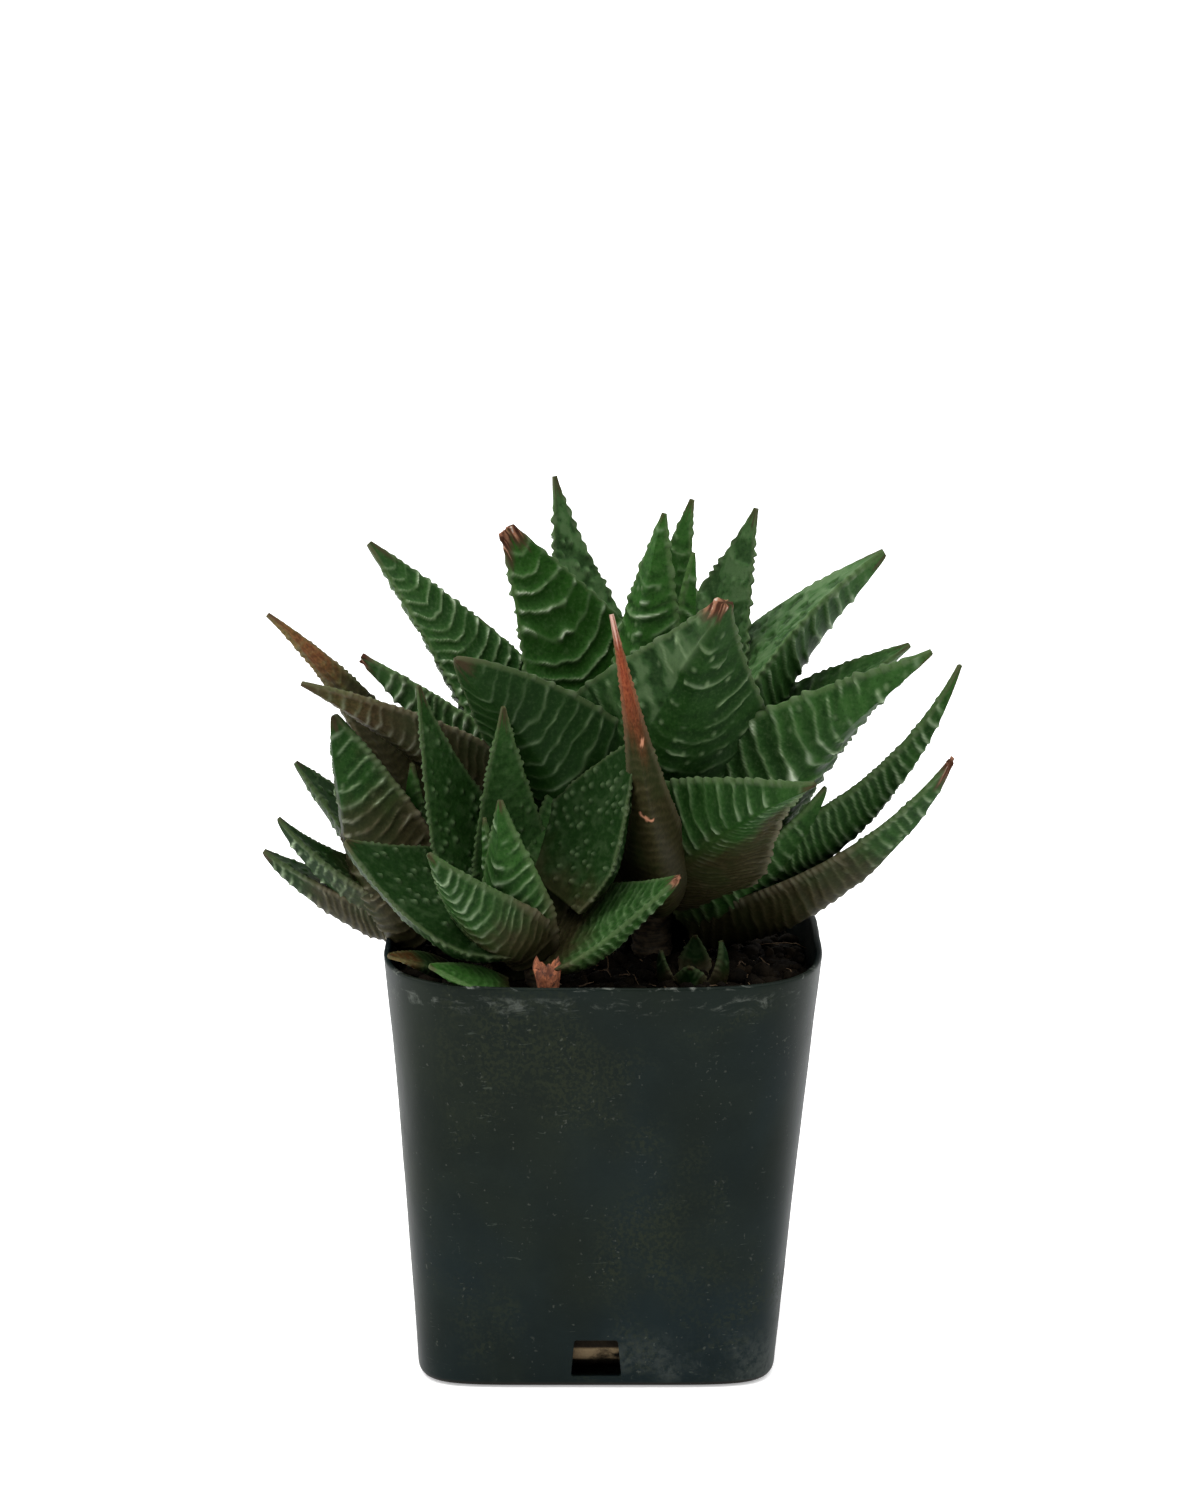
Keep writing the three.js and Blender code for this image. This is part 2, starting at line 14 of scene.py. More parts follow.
import bmesh
import bpy
import numpy as np
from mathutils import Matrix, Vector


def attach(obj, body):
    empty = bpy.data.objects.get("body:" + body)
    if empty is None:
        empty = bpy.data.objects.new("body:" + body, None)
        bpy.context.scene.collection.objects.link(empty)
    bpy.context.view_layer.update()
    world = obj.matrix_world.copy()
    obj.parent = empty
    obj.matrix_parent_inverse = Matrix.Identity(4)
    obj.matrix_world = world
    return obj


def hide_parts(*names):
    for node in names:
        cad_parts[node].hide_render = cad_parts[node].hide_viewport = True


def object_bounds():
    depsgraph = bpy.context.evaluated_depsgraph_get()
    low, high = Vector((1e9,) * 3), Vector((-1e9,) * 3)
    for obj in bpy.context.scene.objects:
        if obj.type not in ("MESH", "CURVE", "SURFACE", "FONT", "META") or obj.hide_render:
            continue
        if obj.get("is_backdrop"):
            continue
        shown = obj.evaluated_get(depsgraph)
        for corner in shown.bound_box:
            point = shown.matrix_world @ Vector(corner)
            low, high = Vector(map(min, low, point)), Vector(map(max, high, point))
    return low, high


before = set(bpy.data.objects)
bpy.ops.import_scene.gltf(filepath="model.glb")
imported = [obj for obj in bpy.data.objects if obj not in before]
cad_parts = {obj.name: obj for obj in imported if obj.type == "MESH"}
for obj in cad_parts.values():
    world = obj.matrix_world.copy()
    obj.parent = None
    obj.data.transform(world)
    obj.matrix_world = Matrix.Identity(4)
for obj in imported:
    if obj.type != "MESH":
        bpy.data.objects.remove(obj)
cad_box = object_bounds()
MM = 0.001
print("solids in the frame:", len(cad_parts))

# %% [markdown]
# ## Camera
#
# The photograph was taken from a little above, with a long lens: the pot's sides are almost parallel and a
# strip of soil shows behind the front rim. A long lens far away gives the same flat perspective. The
# camera is backed off from the point it aims at, along the direction of view.

# %% Place the camera
CAMERA_PITCH = math.radians(11.83)
CAMERA_DISTANCE = 0.9
AIM = (0.00065, 0, 0.1019)
SENSOR_HEIGHT = 36
LENS_PER_SENSOR = 5363 / 1500  # focal length over the height of the picture


def add_camera():
    data = bpy.data.cameras.new("camera")
    data.sensor_fit = "VERTICAL"
    data.sensor_height = SENSOR_HEIGHT
    data.lens = LENS_PER_SENSOR * SENSOR_HEIGHT
    data.clip_end = 50
    camera = bpy.data.objects.new("camera", data)
    back = CAMERA_DISTANCE * math.cos(CAMERA_PITCH)
    up = CAMERA_DISTANCE * math.sin(CAMERA_PITCH)
    camera.location = (AIM[0], AIM[1] - back, AIM[2] + up)
    camera.rotation_euler = (math.pi / 2 - CAMERA_PITCH, 0, 0)
    bpy.context.scene.collection.objects.link(camera)
    bpy.context.scene.camera = camera
    return camera


print("lens, mm:", round(add_camera().data.lens, 1))

# %% [markdown]
# ## Shader maths as Python
#
# Materials below are written as expressions. A Field wraps one socket, and its operators add Math nodes.
# Colours and vectors go through Mix and Vector Math instead, because a Math node would turn a colour grey.
# Numbers alone are worked out in Python and set directly on sockets.

# %% A small class for sockets
class Field:
    def __init__(self, shader, socket):
        self.shader = shader
        self.socket = socket

    def math(self, operation, one, other):
        return self.shader.node("ShaderNodeMath", {"operation": operation}, {0: one, 1: other})

    def __add__(self, other):
        return self.math("ADD", self, other)

    def __radd__(self, other):
        return self.math("ADD", other, self)

    def __sub__(self, other):
        return self.math("SUBTRACT", self, other)

    def __rsub__(self, other):
        return self.math("SUBTRACT", other, self)

    def __mul__(self, other):
        return self.math("MULTIPLY", self, other)

    def __rmul__(self, other):
        return self.math("MULTIPLY", other, self)

    def between(self, low, high):
        """0 below low, 1 above high, and a smooth rise from one to the other; high may be below low."""
        settings = {"interpolation_type": "SMOOTHSTEP"}
        inputs = {"Value": self, "From Min": low, "From Max": high}
        return self.shader.node("ShaderNodeMapRange", settings, inputs)


print("operators of a Field: + - * and their reflected forms")

# %% [markdown]
# A Shader wraps the node tree of a material, or of the world. Its one method node adds any node: settings
# first, then the values or links of the sockets. The others are short names for the nodes that this plant
# needs often.

# %% One method for every node
class Shader:
    def __init__(self, owner):
        """owner is a new material, or the world."""
        owner.use_nodes = True
        self.owner = owner
        self.tree = owner.node_tree
        self.surface = self.tree.nodes.get("Principled BSDF") or self.tree.nodes["Background"]

    def node(self, kind, settings=None, inputs=None, output=0):
        node = self.tree.nodes.new(kind)
        for key, value in (settings or {}).items():
            setattr(node, key, value)
        self.feed(node, inputs or {})
        return Field(self, node.outputs[output])

    def feed(self, node, inputs):
        for key, value in inputs.items():
            socket = node.inputs[key]
            if isinstance(value, Field):
                self.tree.links.new(value.socket, socket)
            elif socket.type == "RGBA" and len(value) == 3:
                socket.default_value = (*value, 1)
            else:
                socket.default_value = value

    def set(self, **sockets):
        self.feed(self.surface, {key.replace("_", " "): value for key, value in sockets.items()})

    def place(self, output="Object"):
        return self.node("ShaderNodeTexCoord", output=output)

    def part(self, place, axis):
        """One coordinate of a place."""
        return self.node("ShaderNodeSeparateXYZ", None, {0: place}, "XYZ".index(axis))

    def stretched(self, scale):
        """The object's coordinates, scaled along each axis, for streaks and scratches."""
        return self.node("ShaderNodeVectorMath", {"operation": "MULTIPLY"}, {0: self.place(), 1: scale})

    def noise(self, scale, detail=3, roughness=0.55, place=None, distortion=0):
        """Even noise between 0 and 1; scale is in features per metre."""
        inputs = {"Vector": place or self.place(), "Scale": scale, "Detail": detail}
        inputs.update({"Roughness": roughness, "Distortion": distortion})
        return self.node("ShaderNodeTexNoise", {"noise_dimensions": "3D"}, inputs)

    def streaks(self, scale, **settings):
        """Noise that is stretched by a different amount along each axis."""
        return self.noise(1, place=self.stretched(scale), **settings)

    def attribute(self, name):
        return self.node("ShaderNodeAttribute", {"attribute_name": name}, output="Fac")

    def mix(self, share, one, other):
        """The colour one where share is 0 and other where it is 1."""
        settings = {"data_type": "RGBA", "clamp_factor": True}
        return self.node("ShaderNodeMix", settings, {0: share, 6: one, 7: other}, output=2)

    def coats(self, base, *coats):
        """One colour after another over base; each coat is the share that it covers and its colour."""
        for share, colour in coats:
            base = self.mix(share, base, colour)
        return base

    def bump(self, height, strength, distance):
        inputs = {"Height": height, "Strength": strength, "Distance": distance}
        return self.node("ShaderNodeBump", None, inputs)


def new_material(name):
    return Shader(bpy.data.materials.new(name))


print("a Shader knows:", ", ".join(name for name in vars(Shader) if not name.startswith("_")))

# %% [markdown]
# ## Meshes from grids
#
# Leaves, pot and stems are all skins: rings of points, one after another, with a fan closing each end.
# Numpy works out whole grids at once, which keeps a leaf of thirty thousand points quick to build. Values
# that the materials need, such as how near a point is to a ridge, travel with the mesh as point
# attributes.

# %% Make a mesh object from arrays
def add_mesh(name, points, faces, fields=None, material=None):
    """points in millimetres; faces is a list of integer arrays, each of triangles or quads."""
    mesh = bpy.data.meshes.new(name)
    corners = np.concatenate([part.ravel() for part in faces]).astype(np.int32)
    sizes = np.concatenate([np.full(len(part), part.shape[1]) for part in faces])
    starts = np.concatenate([[0], np.cumsum(sizes)[:-1]]).astype(np.int32)
    mesh.vertices.add(len(points))
    mesh.vertices.foreach_set("co", (np.asarray(points) * MM).astype(np.float32).ravel())
    mesh.loops.add(len(corners))
    mesh.loops.foreach_set("vertex_index", corners)
    mesh.polygons.add(len(sizes))
    mesh.polygons.foreach_set("loop_start", starts)
    for key, values in (fields or {}).items():
        layer = mesh.attributes.new(key, "FLOAT", "POINT")
        layer.data.foreach_set("value", np.asarray(values, dtype=np.float32).ravel())
    mesh.update(calc_edges=True)
    mesh.validate()
    mesh.polygons.foreach_set("use_smooth", np.ones(len(mesh.polygons), dtype=bool))
    piece = bpy.data.objects.new(name, mesh)
    bpy.context.scene.collection.objects.link(piece)
    if material:
        mesh.materials.append(material)
    return piece


def skin(grid):
    """Points and faces of a closed skin over rings of points: grid has the shape (rings, around, 3)."""
    rings, around = grid.shape[:2]
    ring, step = np.meshgrid(np.arange(rings - 1), np.arange(around), indexing="ij")
    a = (ring * around + step).ravel()
    b = (ring * around + (step + 1) % around).ravel()
    quads = np.stack([a, b, b + around, a + around], 1)
    points = np.concatenate([grid.reshape(-1, 3), grid[0].mean(0)[None], grid[-1].mean(0)[None]])
    step = np.arange(around)
    after = (step + 1) % around
    last = (rings - 1) * around
    foot = np.stack([np.full(around, rings * around), after, step], 1)
    head = np.stack([np.full(around, rings * around + 1), last + step, last + after], 1)
    return points, [quads, np.concatenate([foot, head])]


def with_ends(values):
    """A grid of values, and those of the two points that close its ends."""
    return np.concatenate([values.ravel(), [values[0].mean(), values[-1].mean()]])


print("faces of a four-sided box of two rings:", sum(len(part) for part in skin(np.zeros((2, 4, 3)))[1]))

# %% [markdown]
# Every piece of this object rides on its one body, and hides the solids that it stands for. Two small
# helpers select pieces and turn their faces outwards, because a skin may come out inside out.

# %% Hand a piece to the frame
def settle(piece, slot, *nodes):
    """nodes are the solids that the piece replaces."""
    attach(piece, "root")
    if nodes:
        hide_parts(*nodes)
    return piece


def select(*pieces):
    bpy.ops.object.select_all(action="DESELECT")
    for piece in pieces:
        piece.select_set(True)
    bpy.context.view_layer.objects.active = pieces[0]


def outward(piece):
    """Turns the faces of a closed mesh outwards."""
    select(piece)
    bpy.ops.object.mode_set(mode="EDIT")
    bpy.ops.mesh.select_all(action="SELECT")
    bpy.ops.mesh.normals_make_consistent(inside=False)
    bpy.ops.object.mode_set(mode="OBJECT")
    return piece


print("body that every piece rides on: root")

# %% [markdown]
# ## Noise for the relief
#
# The ridges are real relief, not a bump map, so their noise is worked out here. hash01 turns whole numbers
# into an even value, value_noise blends it between lattice points, and nearest_spot finds the closest of a
# field of scattered spots. All of it comes from the place and a seed, so every run makes the same plant.
# Each use of noise on a leaf adds its own small number to the leaf's seed, which keeps ridges, spots and
# stains independent of each other.

# %% Repeatable noise
WORD = 0xFFFFFFFF  # 32 bits


def hash01(x, y, seed):
    """The large primes scatter whole numbers that are neighbours."""
    mixed = (x * 374761393 + y * 668265263 + seed * 974634777) & WORD
    mixed = ((mixed ^ (mixed >> 13)) * 1274126177) & WORD
    return ((mixed ^ (mixed >> 16)) & 0xFFFFFF) / 0xFFFFFF


def value_noise(x, y, seed):
    """Smooth noise from -1 to 1."""
    left, low = np.floor(x), np.floor(y)
    across, up = x - left, y - low
    across, up = across**2 * (3 - 2 * across), up**2 * (3 - 2 * up)
    left, low = left.astype(np.int64), low.astype(np.int64)
    bottom = hash01(left, low, seed) * (1 - across) + hash01(left + 1, low, seed) * across
    top = hash01(left, low + 1, seed) * (1 - across) + hash01(left + 1, low + 1, seed) * across
    return (bottom * (1 - up) + top * up) * 2 - 1


def nearest_spot(x, y, seed):
    """Distance to the nearest of spots scattered one to a unit cell, and an even value for that spot."""
    left, low = np.floor(x).astype(np.int64), np.floor(y).astype(np.int64)
    best = np.full(x.shape, 9.0)
    value = np.zeros(x.shape)
    for i in (-1, 0, 1):
        for k in (-1, 0, 1):
            spot_x = left + i + 0.15 + 0.7 * hash01(left + i, low + k, seed)
            spot_y = low + k + 0.15 + 0.7 * hash01(left + i, low + k, seed + 1)
            distance = np.hypot(x - spot_x, y - spot_y)
            nearer = distance < best
            best = np.where(nearer, distance, best)
            value = np.where(nearer, hash01(left + i, low + k, seed + 2), value)
    return best, value


def smooth(low, high, value):
    """0 at low, 1 at high and a smooth rise between; high may be below low."""
    share = np.clip((value - low) / (high - low), 0, 1)
    return share * share * (3 - 2 * share)


print("noise from 0 to 1, mean:", round(float(hash01(np.arange(999), np.arange(999), 5).mean()), 3))

# %% [markdown]
# ## The leaves' table
#
# Every leaf is a thick keeled blade, and has one row. A row first says where the leaf leaves its stem and
# where its tip is, then how it is shaped, and last how it is finished: its ridges, bumps and pits, its
# margin, and where it is brown, red or dried. A table keeps each leaf's values together, so one leaf can
# be set against the photograph without touching the others.

# %% What a row says
@dataclass
class Leaf:
    name: str
    at: float  # height where it leaves the stem
    facing: float  # heading seen from above: 0 is towards +X and 90 towards +Y
    rise: float  # how steeply it leaves, in degrees
    tip: tuple
    width: float
    keel: float  # depth of the keel below the margins
    roll: float = 0  # turn about its own length
    taper: float = 1  # above 1 the sides draw in sooner
    belly: float = 0.28  # where along the leaf it is widest
    blunt: float = 0.7  # width of the tip
    reach: float = 0.5  # how far it goes before it bends
    foot: tuple = None  # where a leaf without a stem starts
    pitch: float = 2.5  # distance between ridges
    broken: float = 0.45  # where along the leaf ridges break into dashes
    bow: float = 0.3  # how far the ends of a ridge arch towards the tip
    fan: float = 0  # how much closer ridges lie on the right of the keel
    relief: float = 1  # strength of the ridges
    spots: float = 0.3  # strength of the round tubercles
    pits: float = 0.25  # strength of the pits in the upper face
    # a flank's paler green and its crease's pale line are painted light
    flank: float = 0  # strength of a folded flank; its sign is the side of the keel
    frost: float = 0.3  # whitish knobs on keel and margins
    toothed: float = 1  # size of the margin's teeth
    # painted shade: how much the green of a leaf that lies in shade is darkened
    deep: float = 0  # how dark its green is
    bright: float = 0  # how light and fresh its green is
    brown: float = 0.12  # how far up from the base it is brown
    side: float = 0  # how much further brown reaches on the right of the keel
    red: float = 0  # how far down from the tip it is red
    heat: float = 1  # strength of that red; at 1 the ridges fade there too
    dry: float = 0  # how much of the tip has dried
    scars: tuple = ()  # for each, its place along and across, then its length and width


AXES = {  # x, y and crown height of each rosette
    "main": (9.5, 7, 100),
    "left": (-25, 4, 76),
    "front": (-9.5, -19, 74),
    "baby": (16, -13.5, 65),
}
print("values in a row:", len(Leaf.__dataclass_fields__))

# %% [markdown]
# The tall rosette comes first, from the heart outwards. Each row is one leaf, and a value that a row
# leaves out keeps the default from the class. Most tips are measured on the photograph; the leaves behind
# are set by the manner of those in front.

# %% The tall rosette, from the heart outwards
MAIN_LEAVES = [  # name, at, facing, rise, tip, width, keel
    Leaf("main_leaf_heart", 104.5, -12, 87, (16, 3, 135), 8, 4.5, roll=-3, pitch=2.2, spots=0.4,
         bright=0.5),
    Leaf("main_leaf_upright_front", 100, -114, 87, (11.5, 4, 141.5), 13, 5.5, taper=0.95, pitch=2.6,
         broken=0.3, spots=0.5, bright=0.2),
    Leaf("main_leaf_upright_back", 101, 62, 89, (16, 9, 143), 12, 5, roll=-1, taper=1.05, pitch=2.4,
         broken=0.3, bright=0.3),
    Leaf("main_leaf_high_back_right", 95.5, 52, 56, (27, 18, 140), 21, 6.5, roll=-1, taper=1.1, pitch=2.6,
         broken=0.6, pits=0.7, toothed=1.5),
    Leaf("main_leaf_broad_back_left", 92, 137, 62, (-15, 12, 137.5), 29.5, 9, roll=-19, blunt=3.0,
         reach=0.4, pitch=3.15, broken=1.1, bow=0.38, relief=1.3, spots=0.15, pits=0, frost=1, toothed=1.4,
         bright=0.2, dry=0.042),
    Leaf("main_leaf_broad_front", 94, -73, 59, (21, -22.5, 131.5), 37.5, 11, roll=-21, taper=1.15,
         blunt=2.7, reach=0.4, pitch=2.9, broken=0.32, relief=0.75, spots=0.7, flank=-0.9, frost=0.1,
         deep=0.6, dry=0.024),
    Leaf("main_leaf_high_back", 91.5, 123, 53, (-7, 28, 144), 21.5, 8, roll=-1, taper=1.25, pitch=2.6,
         broken=0.5, spots=0.8, pits=0.8, toothed=1.5),
    Leaf("main_leaf_high_right", 94, 21, 65, (48.5, 15, 133.5), 25.5, 11, roll=-5, pitch=2.7, broken=0.75,
         relief=0.8, pits=0.9, frost=0.6, toothed=1.6, bright=0.15),
    Leaf("main_leaf_rear_high", 84, 82, 58, (14, 46, 130), 24, 9, pitch=2.7, broken=0.6, spots=0.5),
    Leaf("main_leaf_high_left", 77, 159, 58, (-38.5, 19.5, 134), 25.5, 9, roll=-19, taper=0.9, pitch=2.2,
         broken=0.9, relief=1.3, spots=0.1, pits=0, frost=1, toothed=1.6),
    Leaf("main_leaf_front_left", 81, -139, 61, (-23, -19.5, 121.5), 27.5, 9, roll=36, taper=0.75, pitch=2.6,
         broken=0.8, relief=0.38, spots=0.1, frost=0.15, deep=0.85, brown=0.22),
    Leaf("main_leaf_right_front", 83, -33, 48, (55.5, -8, 120.5), 26, 8.5, roll=-36, taper=1.15, pitch=2.8,
         broken=0.55, spots=0.6, frost=0.5, toothed=2.1, brown=0.05),
    Leaf("main_leaf_right_back", 86.5, 19, 47, (52.5, 5.5, 119), 19.5, 7, roll=13, pitch=2.4, broken=0.6),
    Leaf("main_leaf_rear_right", 80, 52, 42, (33, 45, 112), 23, 9, broken=0.5),
    Leaf("main_leaf_rear_left", 78, 125, 42, (-21, 47, 116), 23, 9, pitch=2.6, broken=0.6),
    Leaf("main_leaf_left_back", 78, -173, 50, (-39.5, 12, 115.5), 19, 7.5, roll=23, taper=0.95, blunt=2.5,
         pitch=1.9, broken=0.95, relief=1.4, spots=0.1, pits=0, frost=1, toothed=1.6, brown=0.2, dry=0.03),
    Leaf("main_leaf_left_long", 73, -163, 53, (-49, -5, 114.5), 21.5, 5, roll=37, taper=0.9, pitch=1.7,
         broken=0.9, relief=0.6, spots=0.2, toothed=1.6, deep=0.3, brown=0.95, red=0.14, heat=0.12),
    Leaf("main_leaf_front_red", 80, -85, 8, (2.5, -27, 130), 12.5, 8, taper=1.4, belly=0.22, reach=0.43,
         pitch=1.25, broken=0.95, bow=-0.9, relief=0.35, pits=0, frost=0, brown=0.9, red=0.18,
         scars=((0.745, 0.40, 0.42, 0.36), (0.565, -0.25, 1.2, 0.32))),
    Leaf("main_leaf_front_right", 79.5, -66, 42, (35.5, -33.5, 103.5), 25.5, 7, roll=-39, taper=1.25,
         pitch=2.7, broken=0.7, bow=0.1, fan=1.4, relief=0.7, toothed=1.4, deep=0.3, brown=0.42, side=1.5),
    Leaf("main_leaf_right_small", 74, -20, 30, (38, -6, 97), 14, 6, pitch=1.9, broken=0.6),
    Leaf("main_leaf_right_long", 79, -9, 7, (60, -10, 118.5), 16, 5.5, roll=-31, taper=1.3, pitch=1.6,
         broken=0.75, toothed=1.7, brown=0.15),
    Leaf("main_leaf_right_low", 71.5, -3, 14, (58, -18, 104), 16.5, 7, roll=-12, taper=1.1, blunt=2,
         pitch=1.9, broken=0.5, relief=0.65, spots=0.6, toothed=1.7, deep=0.3, brown=0.6, dry=0.03),
    Leaf("main_leaf_rear_low", 72, 88, 32, (11, 56, 101), 20, 8, pitch=2.2, brown=0.25),
    Leaf("main_leaf_rear_low_right", 72, 38, 24, (40, 40, 95), 17, 7, pitch=2.0, brown=0.3),
    Leaf("main_leaf_rear_low_left", 72, 138, 32, (-29, 38, 99), 17, 7, pitch=2.1, brown=0.25),
    Leaf("main_leaf_rear_foot", 70, 68, 24, (27, 50, 92), 15, 6, pitch=1.8, brown=0.4),
]
print("leaves of the tall rosette:", len(MAIN_LEAVES))

# %% [markdown]
# The offsets follow in the same columns, with smaller leaves that spread lower. The two leaves at the rim
# grow from the mix itself, so each has a foot of its own instead of a place on a stem.

# %% The two offsets and the leaves at the rim
OFFSET_LEAVES = [  # name, at, facing, rise, tip, width, keel
    Leaf("left_leaf_heart", 74, -150, 78, (-30.5, -4, 100.5), 9, 4.5, pitch=1.6, broken=0.2, spots=0.7,
         bright=0.15),
    Leaf("left_leaf_broad", 72, -155, 60, (-43.5, -2, 108.5), 21, 9.5, roll=21, taper=0.8, belly=0.35,
         pitch=1.9, broken=0.35, spots=0.4, toothed=1.4, deep=0.55, brown=0.66),
    Leaf("left_leaf_red_tip", 79.5, 149, 75, (-55.5, 12, 123), 13, 4, roll=-4, pitch=1.6, broken=0.8,
         relief=0.6, pits=0, toothed=1.5, brown=0.75, red=0.22, heat=0.55),
    Leaf("left_leaf_rear_right", 71, 60, 55, (-17, 20, 100), 12, 5.5, pitch=1.6, spots=0.6),
    Leaf("left_leaf_back", 74, 152, 41, (-51, 11.5, 97.5), 14.5, 6, roll=-2, taper=0.95, pitch=1.5,
         spots=0.6, pits=0, toothed=1.5, deep=0.7, brown=0.35),
    Leaf("left_leaf_rear", 71, 112, 36, (-36, 36, 96), 15, 6, pitch=1.7, spots=0.5, brown=0.25),
    Leaf("left_leaf_side", 75.5, -171, 9, (-53, -3, 91), 16.5, 5.5, roll=-7, taper=1.05, pitch=1.6,
         spots=0.5, pits=0, toothed=1.6, deep=0.9, brown=0.5),
    Leaf("left_leaf_low", 73, 176, 8, (-56, 3.5, 84), 14, 6.5, taper=0.95, pitch=1.5, spots=0.5, pits=0,
         toothed=1.5, deep=0.9, brown=0.6, side=0.4),
    Leaf("front_leaf_heart", 72.5, -119, 60, (-15.5, -28, 99.5), 12.5, 5.5, roll=3, pitch=1.9, broken=0.5,
         spots=0.15, bright=0.05, brown=0.3),
    Leaf("front_leaf_sliver", 72, 180, 75, (-18, -24, 95.5), 7, 4, pitch=1.4, spots=0.2, bright=0.2,
         brown=0.2),
    Leaf("front_leaf_upright", 66, 119, 67, (-15, -22.5, 113.5), 15.5, 6, roll=-4, taper=1.05, pitch=1.7,
         broken=0.15, relief=0.5, spots=0.8, toothed=1.6, deep=0.3, brown=0.15),
    Leaf("front_leaf_shaded", 74, 80, 72, (-3.5, -9, 105), 8.5, 4.5, pitch=1.5, spots=0.5, brown=0.3),
    Leaf("front_leaf_back_left", 70.5, 145, 52, (-29, -16.5, 116), 18.5, 6.5, roll=-15, taper=1.25,
         pitch=1.6, broken=0.15, relief=0.4, spots=0.8, toothed=1.6, deep=0.5),
    Leaf("front_leaf_back_right", 81.5, 10, 60, (6.5, -22.5, 108.5), 21, 7, roll=27, pitch=1.6, broken=0.1,
         relief=0.35, spots=0.9, toothed=1.5, deep=0.95, brown=0.1),
    Leaf("front_leaf_left", 78, -171, 9, (-41, -22.5, 91.5), 24, 9, roll=-33, taper=0.9, pitch=1.6,
         broken=0.1, relief=0.4, spots=0.9, toothed=1.7, deep=0.9, brown=0.05),
    Leaf("front_leaf_front", 74.5, -126, 24, (-27, -36, 92.5), 14.5, 5.5, roll=18, pitch=1.6, broken=0.95,
         relief=0.75, spots=0.1, toothed=1.3, deep=0.35, brown=0.42),
    Leaf("front_leaf_right", 73.5, -40, 24, (13.5, -32.5, 88), 19.5, 5.5, roll=34, pitch=1.5, broken=0.7,
         relief=0.8, deep=0.15, brown=0.3, dry=0.03),
    Leaf("rim_leaf_green", 0, 197, 22, (-27, -34, 73.3), 8, 3.5, roll=-20, taper=0.8, reach=0.4,
         foot=(-14, -29.5, 68), pitch=1.3, broken=0.5, relief=0.4, bright=0.35, brown=0.1),
    Leaf("rim_leaf_red", 0, 205, 25, (-34, -26, 73), 5.5, 2.5, roll=-15, taper=0.8, reach=0.4,
         foot=(-24, -20.5, 69.5), pitch=1.1, spots=0.2, deep=0.3, brown=0.3, red=0.4, heat=0.45),
]
LEAVES = MAIN_LEAVES + OFFSET_LEAVES
print("leaves:", len(LEAVES))

# %% [markdown]
# ## The form of a leaf
#
# The middle line is a quadratic curve: it leaves the stem along facing and rise, then bends to the tip.
# The section has a slightly hollow upper face and a deep under face, round near the base and pressed into
# a sharp keel towards the tip. These are the same formulas that the solid model uses, only sampled far
# more finely.

# %% The middle line
BASE_OUT = 2.5  # a leaf starts this far from its stem's axis
BASE_SPREAD = 0.12  # and this much further for each millimetre below the crown
CURVE = 1.06  # length along the middle line, over the straight way to the tip


def unit(vectors):
    return vectors / np.linalg.norm(vectors, axis=-1, keepdims=True)


def leaf_ends(leaf):
    facing = math.radians(leaf.facing)
    if leaf.foot:
        base = np.array(leaf.foot, dtype=float)
    else:
        x, y, crown = AXES[leaf.name.split("_")[0]]
        out = BASE_OUT + BASE_SPREAD * max(crown - leaf.at, 0)
        base = np.array([x + out * math.cos(facing), y + out * math.sin(facing), leaf.at])
    return base, np.array(leaf.tip, dtype=float)


def straight_length(leaf):
    base, tip = leaf_ends(leaf)
    return np.linalg.norm(tip - base)


def leaf_length(leaf):
    return straight_length(leaf) * CURVE


def leaf_frame(leaf, along):
    """Points of the middle line, and the side and upper directions there."""
    base, tip = leaf_ends(leaf)
    facing, rise, roll = (math.radians(angle) for angle in (leaf.facing, leaf.rise, leaf.roll))
    start = np.array([math.cos(facing) * math.cos(rise), math.sin(facing) * math.cos(rise), math.sin(rise)])
    bend = base + start * straight_length(leaf) * leaf.reach
    t = along[..., None]
    middle = base * (1 - t) ** 2 + bend * 2 * t * (1 - t) + tip * t**2
    tangent = unit((bend - base) * (1 - t) + (tip - bend) * t)
    level = np.array([-math.sin(facing), math.cos(facing), 0])
    upper = unit(np.cross(tangent, level))
    side = np.cross(upper, tangent)
    rolled_side = side * math.cos(roll) + upper * math.sin(roll)
    return middle, rolled_side, upper * math.cos(roll) - side * math.sin(roll)


print("longest leaf, mm:", round(float(max(leaf_length(leaf) for leaf in LEAVES)), 1))

# %% [markdown]
# Across the leaf, the section is a shallow hollow above and a keel below, round near the base and sharp
# towards the tip. A place on the leaf is given by three shares: along it, across it, and under, which runs
# from the upper face to the under face.

# %% The section
EDGE = 0.6  # thickness of the margin
CUP = 0.1  # how far the margins rise over the middle, as a share of the half width
KEEL_BELLY = 0.3  # where along the leaf the keel is deepest
SOLID_PITCH = 3.7  # distance between the solid model's rings, whose ends arch towards the tip


@dataclass
class Places:
    """Points of one leaf, from base to tip and from margin to margin, as shares and in millimetres."""

    along: np.ndarray  # 0 at the base and 1 at the tip
    across: np.ndarray  # -1 at the left margin, 0 on the keel and 1 at the right margin
    under: np.ndarray  # 0 on the upper face, 1 on the under face and between them on the margin's wall
    half: np.ndarray  # half the leaf's width there
    u: np.ndarray  # along, in millimetres that stretch a little towards the tip
    v: np.ndarray  # across, in millimetres

    @property
    def below(self):
        return self.under > 0.5


def half_width(leaf, along):
    run = np.clip((along - leaf.belly) / (1 - leaf.belly), 0, 1)
    share = leaf.blunt / leaf.width
    outer = (1 - run) ** leaf.taper * (1 + 0.56 * run * (1 - run)) * (1 - share) + share
    inner = 0.8 + 0.2 * np.sin(np.clip(along / leaf.belly, 0, 1) * math.pi / 2)
    return leaf.width / 2 * np.where(along < leaf.belly, inner, outer)


